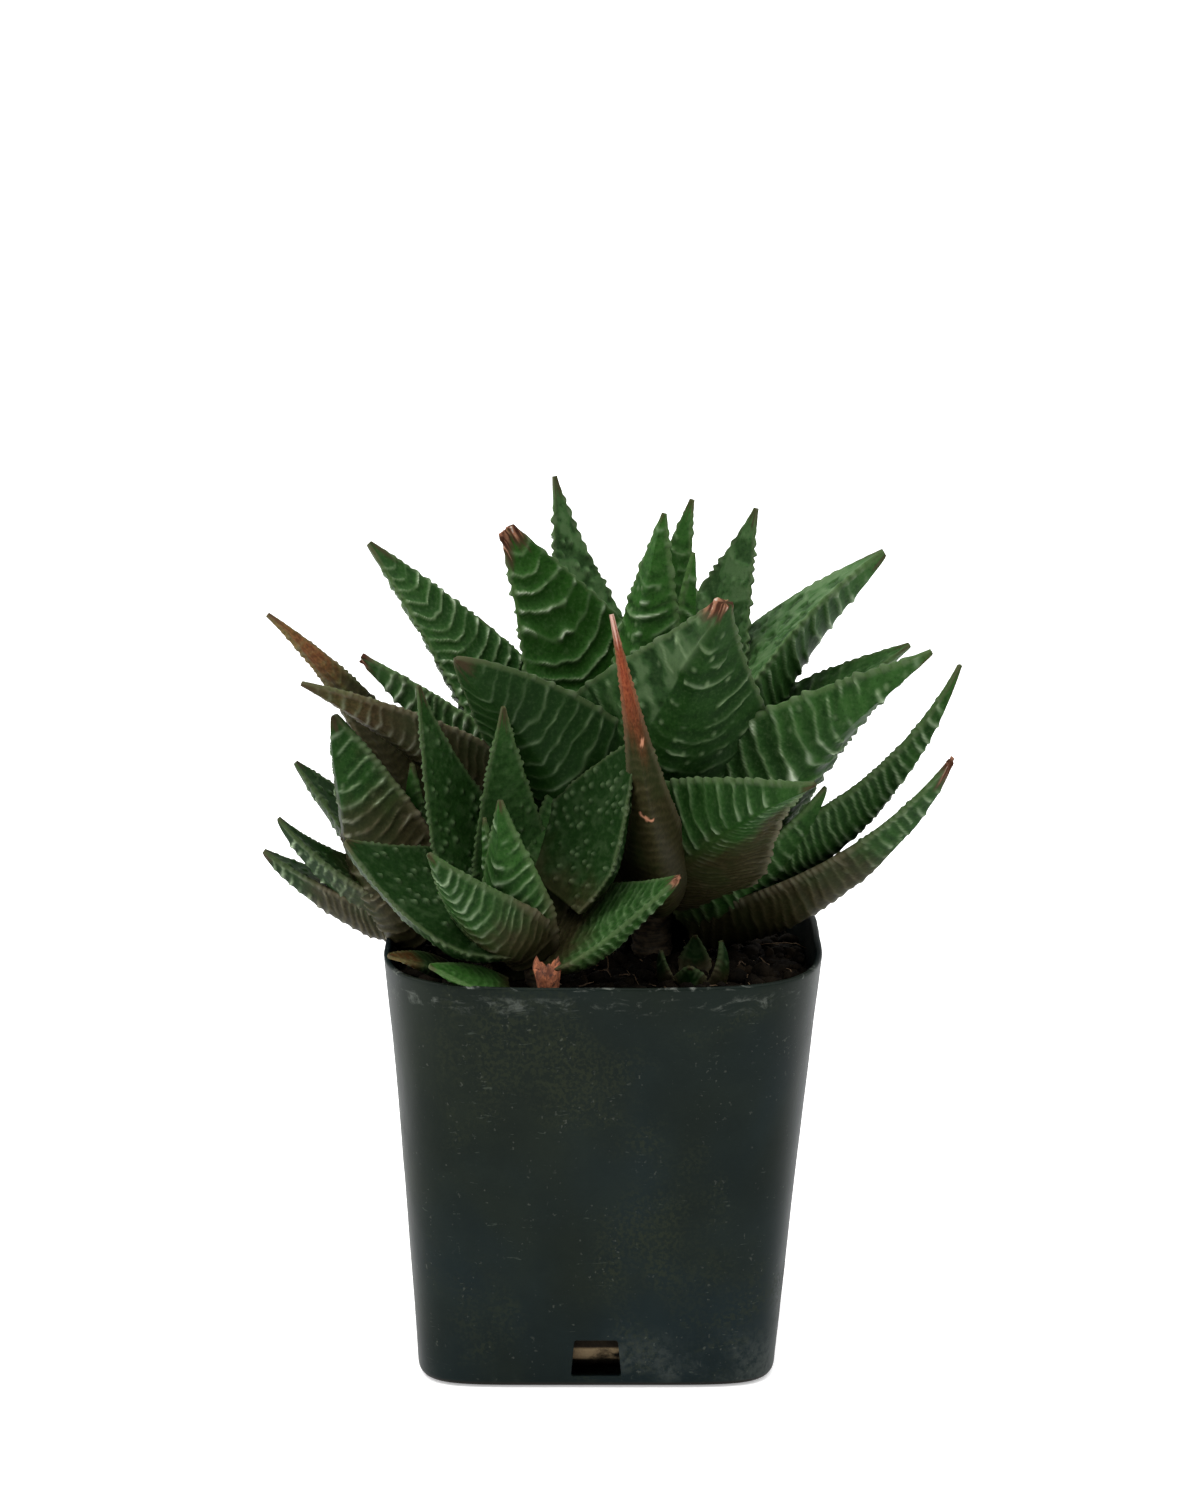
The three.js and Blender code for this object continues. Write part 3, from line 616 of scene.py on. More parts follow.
def keel_depth(leaf, along):
    run = np.clip((along - KEEL_BELLY) / (1 - KEEL_BELLY), 0, 1)
    outer = np.maximum((1 - run) ** 0.75 * 0.88 + 0.12, EDGE / leaf.keel)
    inner = 0.85 + 0.15 * np.sin(np.clip(along / KEEL_BELLY, 0, 1) * math.pi / 2)
    return leaf.keel * np.where(along < KEEL_BELLY, inner, outer)


def leaf_form(leaf, place, spread):
    """The smooth leaf; spread is how far its margin stands out at each point."""
    along, across = place.along, place.across
    sweep = 0.5 * SOLID_PITCH / straight_length(leaf)
    swept = along + sweep * across**2 * np.clip(along * 4, 0, 1) * (1 - along)
    middle, side, upper = leaf_frame(leaf, swept)
    power = 2.3 - 1.15 * np.clip((along - 0.15) / 0.6, 0, 1)  # from a round under face to a sharp keel
    belly = EDGE + (keel_depth(leaf, along) - EDGE) * (1 - np.abs(across) ** power)
    height = CUP * place.half * across**2 - place.under * belly
    reach = across * (place.half + spread)
    return middle + side * reach[..., None] + upper * height[..., None]


widest = max(LEAVES, key=lambda leaf: leaf.width)
print("widest leaf:", widest.name, "with half a width of", half_width(widest, widest.belly), "mm")

# %% [markdown]
# ## The relief of a leaf: ridges
#
# Haworthia leaves carry transverse ridges of hard pale tissue. Near the base they run right across in wavy
# arcs; further out they break into dashes. They could be painted on, or come from a texture, but in a
# close view their edges catch the light, so they are built. A phase counts the ridges along the leaf, and
# three layers of noise make it wander. Each ridge rises steeply on its base side and falls away gently
# towards the tip.

# %% Where the ridges run
STEEP = 0.64  # how far through a ridge's pitch its hollow is deepest
STRETCH = 0.14  # ridges lie further apart towards the tip
WANDER = [  # size, grain along and across the leaf in ridges, and seed
    (0.36, 2.3, 2.0, 0),
    (0.15, 1, 0.8, 3),
    (0.06, 0.4, 0.35, 7),
]


def places_on(leaf, along, across, under):
    half = half_width(leaf, along)
    u = leaf_length(leaf) * (along - STRETCH * along**2)
    return Places(along, across, under, half, u, across * half)


def coarse_places(leaf):
    """A coarse grid over a leaf's under face, for the printed measures."""
    along, across = np.meshgrid(np.linspace(0, 1, 60), np.linspace(-1, 1, 60), indexing="ij")
    return places_on(leaf, along, across, along * 0 + 1)


def right_of_keel(place):
    return smooth(-0.04, 0.04, place.across)


def ridge_lines(leaf, place, seed):
    """Each point's ridge, how far down in the hollow it is from 0 to 1, and its distance from the crest."""
    u, v = place.u / leaf.pitch, place.v / leaf.pitch
    wander = sum(size * value_noise(u / long, v / wide, seed + k) for size, long, wide, k in WANDER)
    if leaf.fan:
        wander = wander + 0.55 * right_of_keel(place) * value_noise(place.u / 2.2, place.v / 2.6, seed + 71)
    bowed = place.u - leaf.bow * np.abs(place.v) * np.abs(place.across)
    phase = bowed / leaf.pitch * (1 + leaf.fan * right_of_keel(place)) + wander
    lower = np.floor(phase)
    past = phase - lower
    gentle = past < STEEP
    ridge = np.where(gentle, lower, lower + 1).astype(np.int64)
    depth = np.where(gentle, past / STEEP, (1 - past) / (1 - STEEP))
    return ridge, depth, np.where(gentle, past, 1 - past) * leaf.pitch


def dashes(leaf, place):
    """From 0 near the base, where ridges run through, to 1 where they have broken into dashes."""
    return smooth(leaf.broken - 0.12, leaf.broken + 0.2, place.along)


def unbroken(leaf, place, ridge, seed):
    """How much of its ridge is left at each point: dashes and gaps take some, and some ridges are faint."""
    pitch = leaf.pitch
    dash = value_noise(place.v / (0.9 + 0.35 * pitch) + ridge * 7.31, ridge * 3.17, seed + 5)
    gap = smooth(0.25, 0.6, value_noise(place.v / (1.1 * pitch) + ridge * 3.3, ridge * 1.7, seed + 47))
    keep = (1 - dashes(leaf, place) * (1 - smooth(-0.25, 0.3, dash))) * (1 - 0.7 * gap)
    keep = keep * (0.65 + 0.35 * hash01(ridge, ridge * 0 + 5, seed + 53))
    if leaf.fan:
        keep = keep * smooth(0.03, 0.12, np.abs(place.across)) * (1 - 0.3 * right_of_keel(place))
    upper_share = 1 - min(0.85, 1.3 * leaf.spots)  # a spotted upper face has hardly any ridges
    return keep * min(1, leaf.relief) * np.where(place.below, 1, upper_share)


print("ridges on the widest leaf, about:", round(leaf_length(widest) * (1 - STRETCH) / widest.pitch))

# %% [markdown]
# ## The relief of a leaf: knobs, tubercles and pits
#
# Where a ridge crosses the keel or ends at the margin it swells into a whitish knob. Between the ridges
# stand round tubercles, one to a cell at most. The upper faces are different: they have shallow pits, with
# a raised net between them. The broad front leaf is also folded over beside its keel, and its folded flank
# is pitted too; the flank gets painted light and its crease a painted highlight.

# %% What stands between the ridges
def knobs(leaf, place, ridge, seed):
    """Where ridges swell along the keel and beside the margins, from 0 to 1."""
    keel_reach = 0.9 + 0.045 * leaf.width
    knob = np.exp(-((place.v / keel_reach) ** 2)) * place.below * min(leaf.frost, 0.5)
    knob = knob + 0.35 * leaf.frost * smooth(0.78, 0.92, np.abs(place.across))
    uneven = 0.75 + 0.45 * value_noise(place.v / 1.7 + ridge * 5.7, place.u / 2.6, seed + 67)
    return np.clip(knob * uneven * smooth(0.2, 0.5, place.along), 0, 1)


def tubercles(leaf, place, seed):
    """How high each point is on a tubercle, from 0 to 1, and how pale that tubercle is."""
    below = place.below
    cell = 1.35 + 0.22 * leaf.pitch
    distance, value = nearest_spot(place.u / cell, place.v / cell, seed + 11)
    size = np.where(below, 0.12, 0.02) + np.where(below, 0.2, 0.42) * value  # the upper ones vary more
    spot = smooth(size, 0.04, distance) * smooth(0.62, 0.85, value + np.where(below, 0, 0.1))
    spot = spot * (0.25 + 0.75 * np.where(below, dashes(leaf, place), 1)) * leaf.spots
    return spot, np.where(below, 0.6, 0.12 + 0.2 * value)


def pits_and_net(leaf, place, seed):
    """How far down in a pit each point is, and how high on the net between pits, from 0 to 1."""
    u, v = place.u / leaf.pitch, place.v / leaf.pitch
    mesh = value_noise(u / 0.62, v / 0.72, seed + 37) + 0.4 * value_noise(u / 0.28, v / 0.33, seed + 43)
    return smooth(-0.02, 0.55, mesh), smooth(0.0, -0.6, mesh)


def flank_of(leaf, place):
    """A folded leaf has a crease that leaves the keel at the tip: what lies outside it, and the fold."""
    if not leaf.flank:
        return 0 * place.along, 0 * place.along
    crease = 0.2 * (1 - place.along) * straight_length(leaf)
    outside = place.v * np.sign(leaf.flank) - crease
    shown = smooth(0.68, 0.76, place.along) * abs(leaf.flank)
    beside = smooth(-0.1, 0.3, outside) * smooth(0.35, 0.6, place.along) * abs(leaf.flank)
    return beside, np.exp(-np.abs(outside) / 2.6) * shown


print("folded leaves:", [leaf.name for leaf in LEAVES if leaf.flank])

# %% [markdown]
# ## The relief of a leaf: all together
#
# All of it is added up as a height over the smooth leaf. The same masks say how pale and frosted each point
# is, how much painted shade lies in its hollow and where crests get painted glints, so the colours later
# fall exactly on the shapes. Relief fades out at the tip and just before the margin.

# %% Add up the relief
def fade_out(leaf, place):
    """0 at the tip and the margins; on a red leaf the relief fades further down too."""
    fade = smooth(1.0, 0.86, place.along) * smooth(1.0, 0.9, np.abs(place.across))
    if leaf.heat == 1:
        fade = fade * smooth(1.15 - leaf.red, 0.8 - leaf.red, place.along)
    return fade


def relief(leaf, place, seed):
    """Height over the smooth leaf; paleness with painted glints, painted hollow shade and frost, from 0 to
    1.
    """
    u, v, below, pitch = place.u, place.v, place.below, leaf.pitch
    ridge, depth, aside = ridge_lines(leaf, place, seed)
    keep = unbroken(leaf, place, ridge, seed)
    knob = knobs(leaf, place, ridge, seed)
    line = np.exp(-((aside / ((0.13 + 0.03 * pitch) * (1 + 1.2 * knob))) ** 2))
    beads = 0.8 + 0.2 * value_noise(v / 0.45 + ridge * 3.9, ridge * 2.1, seed + 59)
    spot, spot_paleness = tubercles(leaf, place, seed)
    pit, net = pits_and_net(leaf, place, seed)
    outside, fold = flank_of(leaf, place)
    pitted = np.where(below, outside, leaf.pits)
    crease = fold * below

    height = np.clip(0.26 * pitch, 0.2, 0.95) * min(1, leaf.width / 15) * max(1, leaf.relief)
    ridges = height * (0.75 * (1 - depth) ** 2.1 + (0.40 + 0.5 * knob) * line * beads) * keep
    lift = ridges * (1 - pitted) - 0.5 * height * pit * pitted + 1.3 * crease
    lift = lift + 0.14 * value_noise(u / 3.1, v / 3.4, seed + 13)
    lift = lift + np.where(below, 0.3, 0.62) * spot * min(1, leaf.width / 14)

    # Painted highlight: the noise in glint lightens stretches of each crest, as if they caught the light.
    glint = 0.48 + 0.52 * smooth(-0.1, 0.5, value_noise(v / 1.5 + ridge * 9.1, u / 3.5, seed + 41))
    glint = glint * beads * min(1, 0.5 + 0.25 * pitch) + knob + 0.2 * leaf.frost
    pale = line * keep * glint * (1 - 0.5 * pitted) * max(1, leaf.relief) ** 1.5
    # The pale line along the fold's crease is a painted highlight.
    pale = pale + 0.2 * net * pitted + 0.6 * crease**8 + spot_paleness * spot
    # Painted shade: the hollows between ridges and the pits of a pitted face are darkened, where shade
    # falls.
    hollow = smooth(0.1, 0.9, depth) * (0.35 + 0.65 * keep) * (1 - pitted) + 0.8 * pit * pitted
    hollow = hollow * (1 - 0.5 * leaf.frost)
    fade = fade_out(leaf, place)
    return fade * lift, np.clip(pale, 0, 1) * fade, hollow * fade, line * keep * knob * fade


heights = relief(widest, coarse_places(widest), 1)[0]
print("tallest relief on the widest leaf, mm:", round(float(heights.max()), 2))

# %% [markdown]
# ## Skinning a leaf
#
# A leaf's section runs over the upper face from one margin to the other, round the margin's thin wall,
# back over the under face and round the other wall. The margin has small rounded teeth, each of its own
# size. The relief is added along the true normal of the smooth form, so ridges stand up from the steep
# flanks of the keel as well.

# %% Teeth and rings
CELL = 0.30  # distance between points, in millimetres
FEWEST_RINGS, MOST_RINGS = 40, 330
RIND = 0.6  # width of the pale line on the margin
WALL_STEPS = np.array([0.25, 0.5, 0.75])  # points on the margin's wall


def section(width):
    """Across, and under: the places round a leaf's section."""
    count = 2 * max(6, int(width / 2 / (CELL * 1.15))) + 1
    line = np.linspace(1, -1, count)
    ones = np.ones(len(WALL_STEPS))
    across = np.concatenate([line, -ones, -line, ones])
    under = np.concatenate([np.zeros(count), WALL_STEPS, np.ones(count), 1 - WALL_STEPS])
    return across, under


def teeth(leaf, place, seed):
    """How far the margin stands out, in millimetres."""
    u = place.along * leaf_length(leaf)
    pitch = max(0.9, 0.75 * leaf.pitch)
    phase = u / pitch + 0.6 * value_noise(u / 4, u * 0 + 2, seed + 17)
    number = np.floor(phase).astype(np.int64)
    shape = np.sin((phase - number) * math.pi) ** 1.4
    size = 0.15 + 0.85 * hash01(number, number * 0 + 4, seed + 19)
    fade = smooth(1.0, 0.85, place.along) * smooth(0.0, 0.1, place.along)
    return shape * size * fade * np.clip(0.08 + 0.19 * leaf.pitch, 0.26, 0.58) * leaf.toothed


def crumple(leaf, place, seed):
    """A dried tip is crumpled."""
    if not leaf.dry:
        return 0 * place.along
    share = smooth(1 - leaf.dry, 1 - leaf.dry * 0.4, place.along)
    return share * 0.35 * value_noise(place.along * 60, place.across * leaf.blunt, seed + 23)


def normals(form):
    """Unit directions straight out of a grid of points."""
    run = np.gradient(form, axis=0)
    turn = np.roll(form, -1, 1) - np.roll(form, 1, 1)
    normal = np.cross(turn, run)
    return normal / np.maximum(np.linalg.norm(normal, axis=-1, keepdims=True), 1e-9)


print("points round the widest leaf:", len(section(widest.width)[0]))

# %% [markdown]
# ## Where a leaf changes colour
#
# Bases are brown where old growth has aged, and leaves that had too much sun redden from the tip down. A
# few tips have dried to brown fibres. These are slow changes along the leaf with ragged limits, so each is
# a smooth step whose place drifts with noise.

# %% Values for the leaf's material
POINT = 0.07  # the last part of every leaf, which turns brown, or pink where the leaf is red


def scars_of(leaf, place, seed):
    """Small dry scars on the under face."""
    scar = 0 * place.along
    for along, across, length, width in leaf.scars:
        down = (place.along - along) * leaf_length(leaf)
        aside = (place.across - across) * place.half
        ragged = 1 + 0.4 * value_noise(down / 0.4, aside / 0.4, seed + 73)
        distance = ragged * np.hypot(down / width, (aside + 0.25 * down) / length)
        scar = np.maximum(scar, smooth(1.1, 0.7, distance) * place.below)
    return scar


def finish_fields(leaf, place, seed):
    """How brown, red, dried and so on each point is, from 0 to 1, and how much painted shade and light it
    gets.
    """
    along, across = place.along, place.across
    drift = 0.09 * value_noise(along * 7, across * 2.5, seed + 29)
    drift = drift + 0.05 * value_noise(along * 23, across * 8, seed + 31)
    brown = smooth(leaf.brown + 0.16, leaf.brown - 0.16, along + drift - leaf.side * across * 0.25)
    point = smooth(1 - POINT, 1, along + drift * 0.5)
    red = dry = 0 * along
    if leaf.red:
        red = leaf.heat * smooth(1 - leaf.red - 0.14, 1 - leaf.red + 0.06, along + 0.3 * drift)
    if leaf.dry:
        point = np.maximum(point, smooth(1 - 2.4 * leaf.dry, 1 - 1.2 * leaf.dry, along + drift * 0.5))
        dry = smooth(1 - leaf.dry - 0.02, 1 - leaf.dry + 0.02, along + drift * 0.4)
    flank = flank_of(leaf, place)[0]
    return {
        "brown": brown,
        "red": red,
        "point": point,
        "dry": dry,
        # partly painted light: folded flanks and upper faces are paler, partly as if lit from above
        "upper": np.where(place.below, np.maximum(flank, 0.5 * leaf.frost), leaf.pits),
        "fibre": 0.5 + 0.5 * value_noise(place.v / 0.22, along * 9, seed + 61),
        "scar": scars_of(leaf, place, seed),
        "bright": np.full(along.shape, leaf.bright),
        "deep": np.full(along.shape, leaf.deep),
    }


print("values for the material:", ", ".join(finish_fields(widest, coarse_places(widest), 1)))

# %% [markdown]
# Everything above now comes together: the smooth leaf with its teeth, the relief along its normals, and
# the values that the material will read.

# %% All points of one leaf
def leaf_grid(leaf, seed):
    """The points, and the values that the material reads."""
    rings = int(np.clip(straight_length(leaf) / CELL, FEWEST_RINGS, MOST_RINGS))
    across, under = section(leaf.width)
    along, across = np.meshgrid(np.linspace(0, 1, rings), across, indexing="ij")
    place = places_on(leaf, along, across, np.broadcast_to(under, along.shape))
    aside = np.abs(across)
    lift, crest, hollow, frost = relief(leaf, place, seed)
    tooth = teeth(leaf, place, seed + np.sign(across).astype(np.int64) * 31)
    wall = np.sin(place.under * math.pi) * (aside > 0.999)
    form = leaf_form(leaf, place, tooth * smooth(0.8, 1, aside) + 0.22 * wall * (1 - along) ** 0.3)
    grid = form + normals(form) * (lift + crumple(leaf, place, seed))[..., None]
    rind = smooth(1 - RIND / np.maximum(place.half, 1.5), 1, aside)
    fields = finish_fields(leaf, place, seed)
    fields["crest"], fields["hollow"] = crest, hollow
    fields["edge"] = rind * (0.55 + 0.15 * np.minimum(tooth, 0.6) / 0.35)
    fields["frost"] = np.maximum(frost, 0.05 * smooth(0.16, 0.42, tooth) * rind)
    return grid, fields


print("rings on the widest leaf:", len(leaf_grid(widest, 1)[0]))

# %% [markdown]
# ## Leaf material
#
# One waxy material serves all leaves, and the point attributes tell it where it is. Painted shade darkens
# the hollows and the leaves that lie in shade, the ridges' crests are pale with painted glints on the
# palest, upper faces and folded flanks get a paler green that is partly painted light, bases turn brown,
# stressed leaves redden from the tip down, and margins carry a thin pale line. It could be one material for
# each colour, but the changes from green to brown to red run through every leaf, so they are coats of one
# material, each laid over the last. Fine cell-like grain comes from a bump.

# %% The leaf's colours
DULL_GREEN, FRESH_GREEN = (0.0095, 0.042, 0.0045), (0.0165, 0.060, 0.0080)
WAXY_AND_LIT_GREEN, SUNLIT_GREEN = (0.052, 0.112, 0.038), (0.030, 0.120, 0.012)
PAINTED_SHADE_GREEN, HOLLOW_SHADE_GREEN = (0.0045, 0.0190, 0.0023), (0.0030, 0.0145, 0.0017)
LIGHT_GRAIN, DARK_GRAIN = (0.062, 0.105, 0.038), (0.0030, 0.0120, 0.0015)
OLD_BROWN, HOLLOW_SHADE_BROWN = (0.0200, 0.0185, 0.0062), (0.0058, 0.0056, 0.0020)
LIGHT_BROWN, GREENISH_BROWN = (0.050, 0.040, 0.018), (0.0150, 0.0260, 0.0070)
DARK_RED, LIGHT_RED = (0.11, 0.019, 0.008), (0.23, 0.058, 0.024)
BROWN_POINT, PINK_POINT = (0.040, 0.022, 0.013), (0.55, 0.36, 0.30)
GREEN_CREST, BROWN_CREST = (0.190, 0.270, 0.135), (0.100, 0.085, 0.048)
CREST_HIGHLIGHT, WHITE_KNOB = (0.40, 0.47, 0.34), (0.62, 0.70, 0.56)
GREEN_RIND, BROWN_RIND = (0.100, 0.132, 0.060), (0.130, 0.110, 0.066)
DARK_HUSK, LIGHT_HUSK, HUSK_FIBRE = (0.045, 0.018, 0.010), (0.24, 0.110, 0.065), (0.55, 0.50, 0.42)
DRY_SCAR = (0.48, 0.22, 0.13)


def leaf_material():
    shade = new_material("haworthia_leaf")
    crest, hollow, deep = (shade.attribute(name) for name in ("crest", "hollow", "deep"))
    brownness, redness, dry = (shade.attribute(name) for name in ("brown", "red", "dry"))
    fibre = shade.attribute("fibre")
    broad = shade.noise(110)
    fine = shade.noise(1600)
    green = shade.coats(
        shade.mix(broad.between(0.36, 0.64), DULL_GREEN, FRESH_GREEN),
        # partly painted light: paler waxy green on upper faces and folded flanks
        (shade.attribute("upper") * 0.7, WAXY_AND_LIT_GREEN),
        (shade.attribute("bright"), SUNLIT_GREEN),
        # painted shade: leaves that lie in shade are darkened
        (deep, PAINTED_SHADE_GREEN),
        # painted shade in the hollows and pits
        (hollow * 0.95, HOLLOW_SHADE_GREEN),
        (fine.between(0.48, 0.72) * (0.26 - 0.18 * deep), LIGHT_GRAIN),
        (fine.between(0.46, 0.30) * 0.45, DARK_GRAIN),
    )
    # Painted shade in the hollows of brown parts too.
    brown = shade.mix(hollow * 0.7, OLD_BROWN, HOLLOW_SHADE_BROWN)
    brown = shade.mix(fine.between(0.40, 0.68) * 0.25, brown, LIGHT_BROWN)
    husk = shade.mix(fibre.between(0.35, 0.75), DARK_HUSK, LIGHT_HUSK)
    husk = shade.mix(fibre.between(0.72, 0.92) * fine.between(0.4, 0.6), husk, HUSK_FIBRE)
    base = shade.coats(
        green,
        (brownness, brown),
        (brownness * broad.between(0.45, 0.62) * 0.4, GREENISH_BROWN),
        (redness, shade.mix(fine.between(0.3, 0.7), DARK_RED, LIGHT_RED)),
        (shade.attribute("point") * 0.75, shade.mix(redness.between(0.6, 0.9), BROWN_POINT, PINK_POINT)),
        # crests: own pale colour with painted glints; the palest get a near-white painted highlight
        (crest * (0.95 - 0.6 * redness), shade.mix(brownness, GREEN_CREST, BROWN_CREST)),
        (crest.between(0.50, 0.95) * (0.60 - 0.45 * brownness), CREST_HIGHLIGHT),
        (shade.attribute("frost") * 0.85, WHITE_KNOB),
        (shade.attribute("edge") * 0.5, shade.mix(brownness, GREEN_RIND, BROWN_RIND)),
        (shade.attribute("scar") * 0.9, DRY_SCAR),
        (dry, husk),
    )
    grain = shade.noise(2600, detail=2) * 0.6 + fine * 0.4
    shade.set(Base_Color=base, Roughness=0.46 + 0.16 * broad + 0.35 * dry, Coat_Weight=crest * 0.15)
    shade.set(Normal=shade.bump(grain, 0.35, 0.00012), Coat_Roughness=0.25, Specular_IOR_Level=0.05)
    shade.set(Subsurface_Weight=0.04, Subsurface_Radius=(0.4, 1.0, 0.3), Subsurface_Scale=0.0012)
    return shade.owner


leaf_finish = leaf_material()
print("nodes in the leaf's material:", len(leaf_finish.node_tree.nodes))

# %% [markdown]
# ## Growing the leaves
#
# Every row of the table is now grown into a blade. Each leaf has its own seed, far from the next one's, so
# that no two leaves share a pattern. slot_of names which of three finishes a leaf mostly has; settle
# ignores it.

# %% Build all leaves
FIRST_SEED, NEXT_SEED = 101, 57


def build_leaf(leaf, seed):
    grid, fields = leaf_grid(leaf, seed)
    points, faces = skin(grid)
    fields = {key: with_ends(values) for key, values in fields.items()}
    return add_mesh(f"{leaf.name}_blade", points, faces, fields, leaf_finish)


def slot_of(leaf):
    if leaf.red > 0.15:
        return "leaf_red"
    return "leaf_brown" if leaf.brown > 0.45 else "leaf_green"


point_count = 0
for number, leaf in enumerate(LEAVES):
    piece = build_leaf(leaf, FIRST_SEED + number * NEXT_SEED)
    settle(piece, slot_of(leaf), leaf.name)
    point_count += len(piece.data.vertices)

print("points on all leaves:", point_count)

# %% [markdown]
# ## The baby rosette
#
# A seedling-sized offset just breaks the soil in the shade of the large rosette. It is four small leaves
# on a stem, joined into one piece, because the real one is a single bud.

# %% Build the baby rosette
BABY_TIPS = [(11, -14.5, 71), (15.5, -19.5, 69.5), (20.5, -14.5, 72.5), (16.5, -9, 72)]
BABY_SEED = 7001


def baby_leaf(number, tip):
    x, y, crown = AXES["baby"]
    facing = math.degrees(math.atan2(tip[1] - y, tip[0] - x))
    # The baby lies in the large rosette's shade, so its green gets full painted shade.
    finish = {"broken": 0.2, "relief": 0.35, "frost": 0, "deep": 1, "brown": 0.45}
    return Leaf(f"baby_leaf_{number}", crown, facing, 45, tip, width=5, keel=2.4, pitch=1.5, **finish)


def join(pieces, name):
    select(*pieces)
    bpy.ops.object.join()
    pieces[0].name = name
    pieces[0].data.name = name
    return pieces[0]


baby_pieces = []
for number, tip in enumerate(BABY_TIPS):
    baby_pieces.append(build_leaf(baby_leaf(number, tip), BABY_SEED + number * NEXT_SEED))

settle(join(baby_pieces, "baby_rosette_leaves"), "leaf_green", "baby_rosette")
print("baby leaves:", len(baby_pieces))

# %% [markdown]
# ## The pot
#
# The pot is thin moulded plastic: a rounded square that tapers to its foot, with no rim bead, just the
# wall's rounded edge. One profile runs from the middle of the floor up the inside, over the rim, down the
# outside and under the foot. Each point of the profile becomes one rounded square, so the whole pot is one
# closed skin. The walls of a used pot are never quite flat, so a slow wave is added to them, and it fades
# out at the foot that the pot stands on.

# %% Rounded squares and the pot's profile
POT_HEIGHT = 70
TOP_HALF, BASE_HALF = 36.7, 30  # half the width at the rim and at the foot
TOP_SQUARENESS, BASE_SQUARENESS = 3.8, 7  # 2 would be a circle
WAIST = 0.35  # how far the walls draw in halfway up
LEAN = 1.2  # how far the rim stands to the right of the foot
WALL, FLOOR, FOOT_ROUND = 1, 1, 1.2
CENTRE_INSET = 26  # inset of the floor's innermost ring
SIDES = 320


def rounded_square(height, inset):
    """One ring of the pot's taper, drawn in by an inset; point k lies at an even turn round the pot."""
    share = height / POT_HEIGHT
    half = BASE_HALF + (TOP_HALF - BASE_HALF) * share - WAIST * 4 * share * (1 - share) - inset
    power = BASE_SQUARENESS + (TOP_SQUARENESS - BASE_SQUARENESS) * share
    angle = (np.arange(SIDES) + 0.5) / SIDES * 2 * math.pi
    radius = half / (np.abs(np.cos(angle)) ** power + np.abs(np.sin(angle)) ** power) ** (1 / power)
    x = radius * np.cos(angle) + LEAN * share
    return np.stack([x, radius * np.sin(angle), np.full(SIDES, float(height))], 1)


def arc(middle_height, middle_inset, radius, start, end, count):
    """Height and inset along an arc of the profile; 0 degrees points outwards and 90 up."""
    turn = np.radians(np.linspace(start, end, count))
    return list(zip(middle_height + radius * np.sin(turn), middle_inset - radius * np.cos(turn)))


def pot_profile():
    rim = WALL / 2
    inside = [(FLOOR, CENTRE_INSET), (FLOOR, 12), (FLOOR, WALL + 1.2), (FLOOR + 0.35, WALL + 0.35)]
    inside += [(height, WALL) for height in np.linspace(FLOOR + 1.2, POT_HEIGHT - 1, 40)]
    over = arc(POT_HEIGHT - rim, rim, rim, 180, 0, 9)
    outside = [(height, 0) for height in np.linspace(POT_HEIGHT - 1, FOOT_ROUND + 0.4, 70)]
    foot = arc(FOOT_ROUND, FOOT_ROUND, FOOT_ROUND, 0, -90, 7)
    return inside + over + outside + foot + [(0, 4), (0, 12), (0, CENTRE_INSET)]


def pot_grid():
    grid = np.stack([rounded_square(height, inset) for height, inset in pot_profile()])
    x, y, z = grid[..., 0], grid[..., 1], grid[..., 2]
    outer = unit(np.stack([x, y, 0 * z], -1))
    wave = 0.14 * value_noise(np.arctan2(y, x) * 6, z / 17, 3) + 0.03 * value_noise((x - y) / 3, z / 4, 4)
    walls = smooth(2, 10, z) * (np.hypot(x, y) > 27)
    return grid + outer * wave[..., None] * walls[..., None]


print("rings of the pot:", len(pot_profile()))

# %% [markdown]
# ## Drain slots
#
# Each wall has one slot near the floor, a little wider at its foot. The slots could be left out of the
# rings, but a boolean cut with a block keeps their edges crisp. The block has the slot's outline, with
# slightly rounded corners.

# %% Cutters for the slots
SLOT_FOOT_WIDTH, SLOT_HEAD_WIDTH = 8.3, 7.3
SLOT_FOOT, SLOT_HEAD, SLOT_ROUND = 1.8, 8.3, 0.5
CUT_FROM, CUT_TO = -34, -26  # across the front wall


def turned(angle):
    """A matrix that turns rows of points about the vertical."""
    along, aside = math.cos(angle), math.sin(angle)
    return np.array([[along, aside, 0], [-aside, along, 0], [0, 0, 1]])


def slot_outline():
    outline = []
    for side, end in [(1, -1), (1, 1), (-1, 1), (-1, -1)]:
        width, height = (SLOT_HEAD_WIDTH, SLOT_HEAD) if end > 0 else (SLOT_FOOT_WIDTH, SLOT_FOOT)
        middle_x = side * (width / 2 - SLOT_ROUND)
        middle_z = height - end * SLOT_ROUND
        start = math.degrees(math.atan2(end, side)) - 45
        for turn in np.radians(np.linspace(start, start + 90, 5)):
            outline.append((middle_x + SLOT_ROUND * math.cos(turn), middle_z + SLOT_ROUND * math.sin(turn)))
    return np.array(sorted(outline, key=lambda p: math.atan2(p[1] - (SLOT_FOOT + SLOT_HEAD) / 2, p[0])))


def slot_cutter(side):
    x, z = slot_outline().T
    rings = [np.stack([x, 0 * x + y, z], 1) for y in (CUT_FROM, CUT_TO)]
    points, faces = skin(np.stack(rings) @ turned(math.radians(90 * side)))
    return outward(add_mesh(f"slot_cutter_{side}", points, faces))


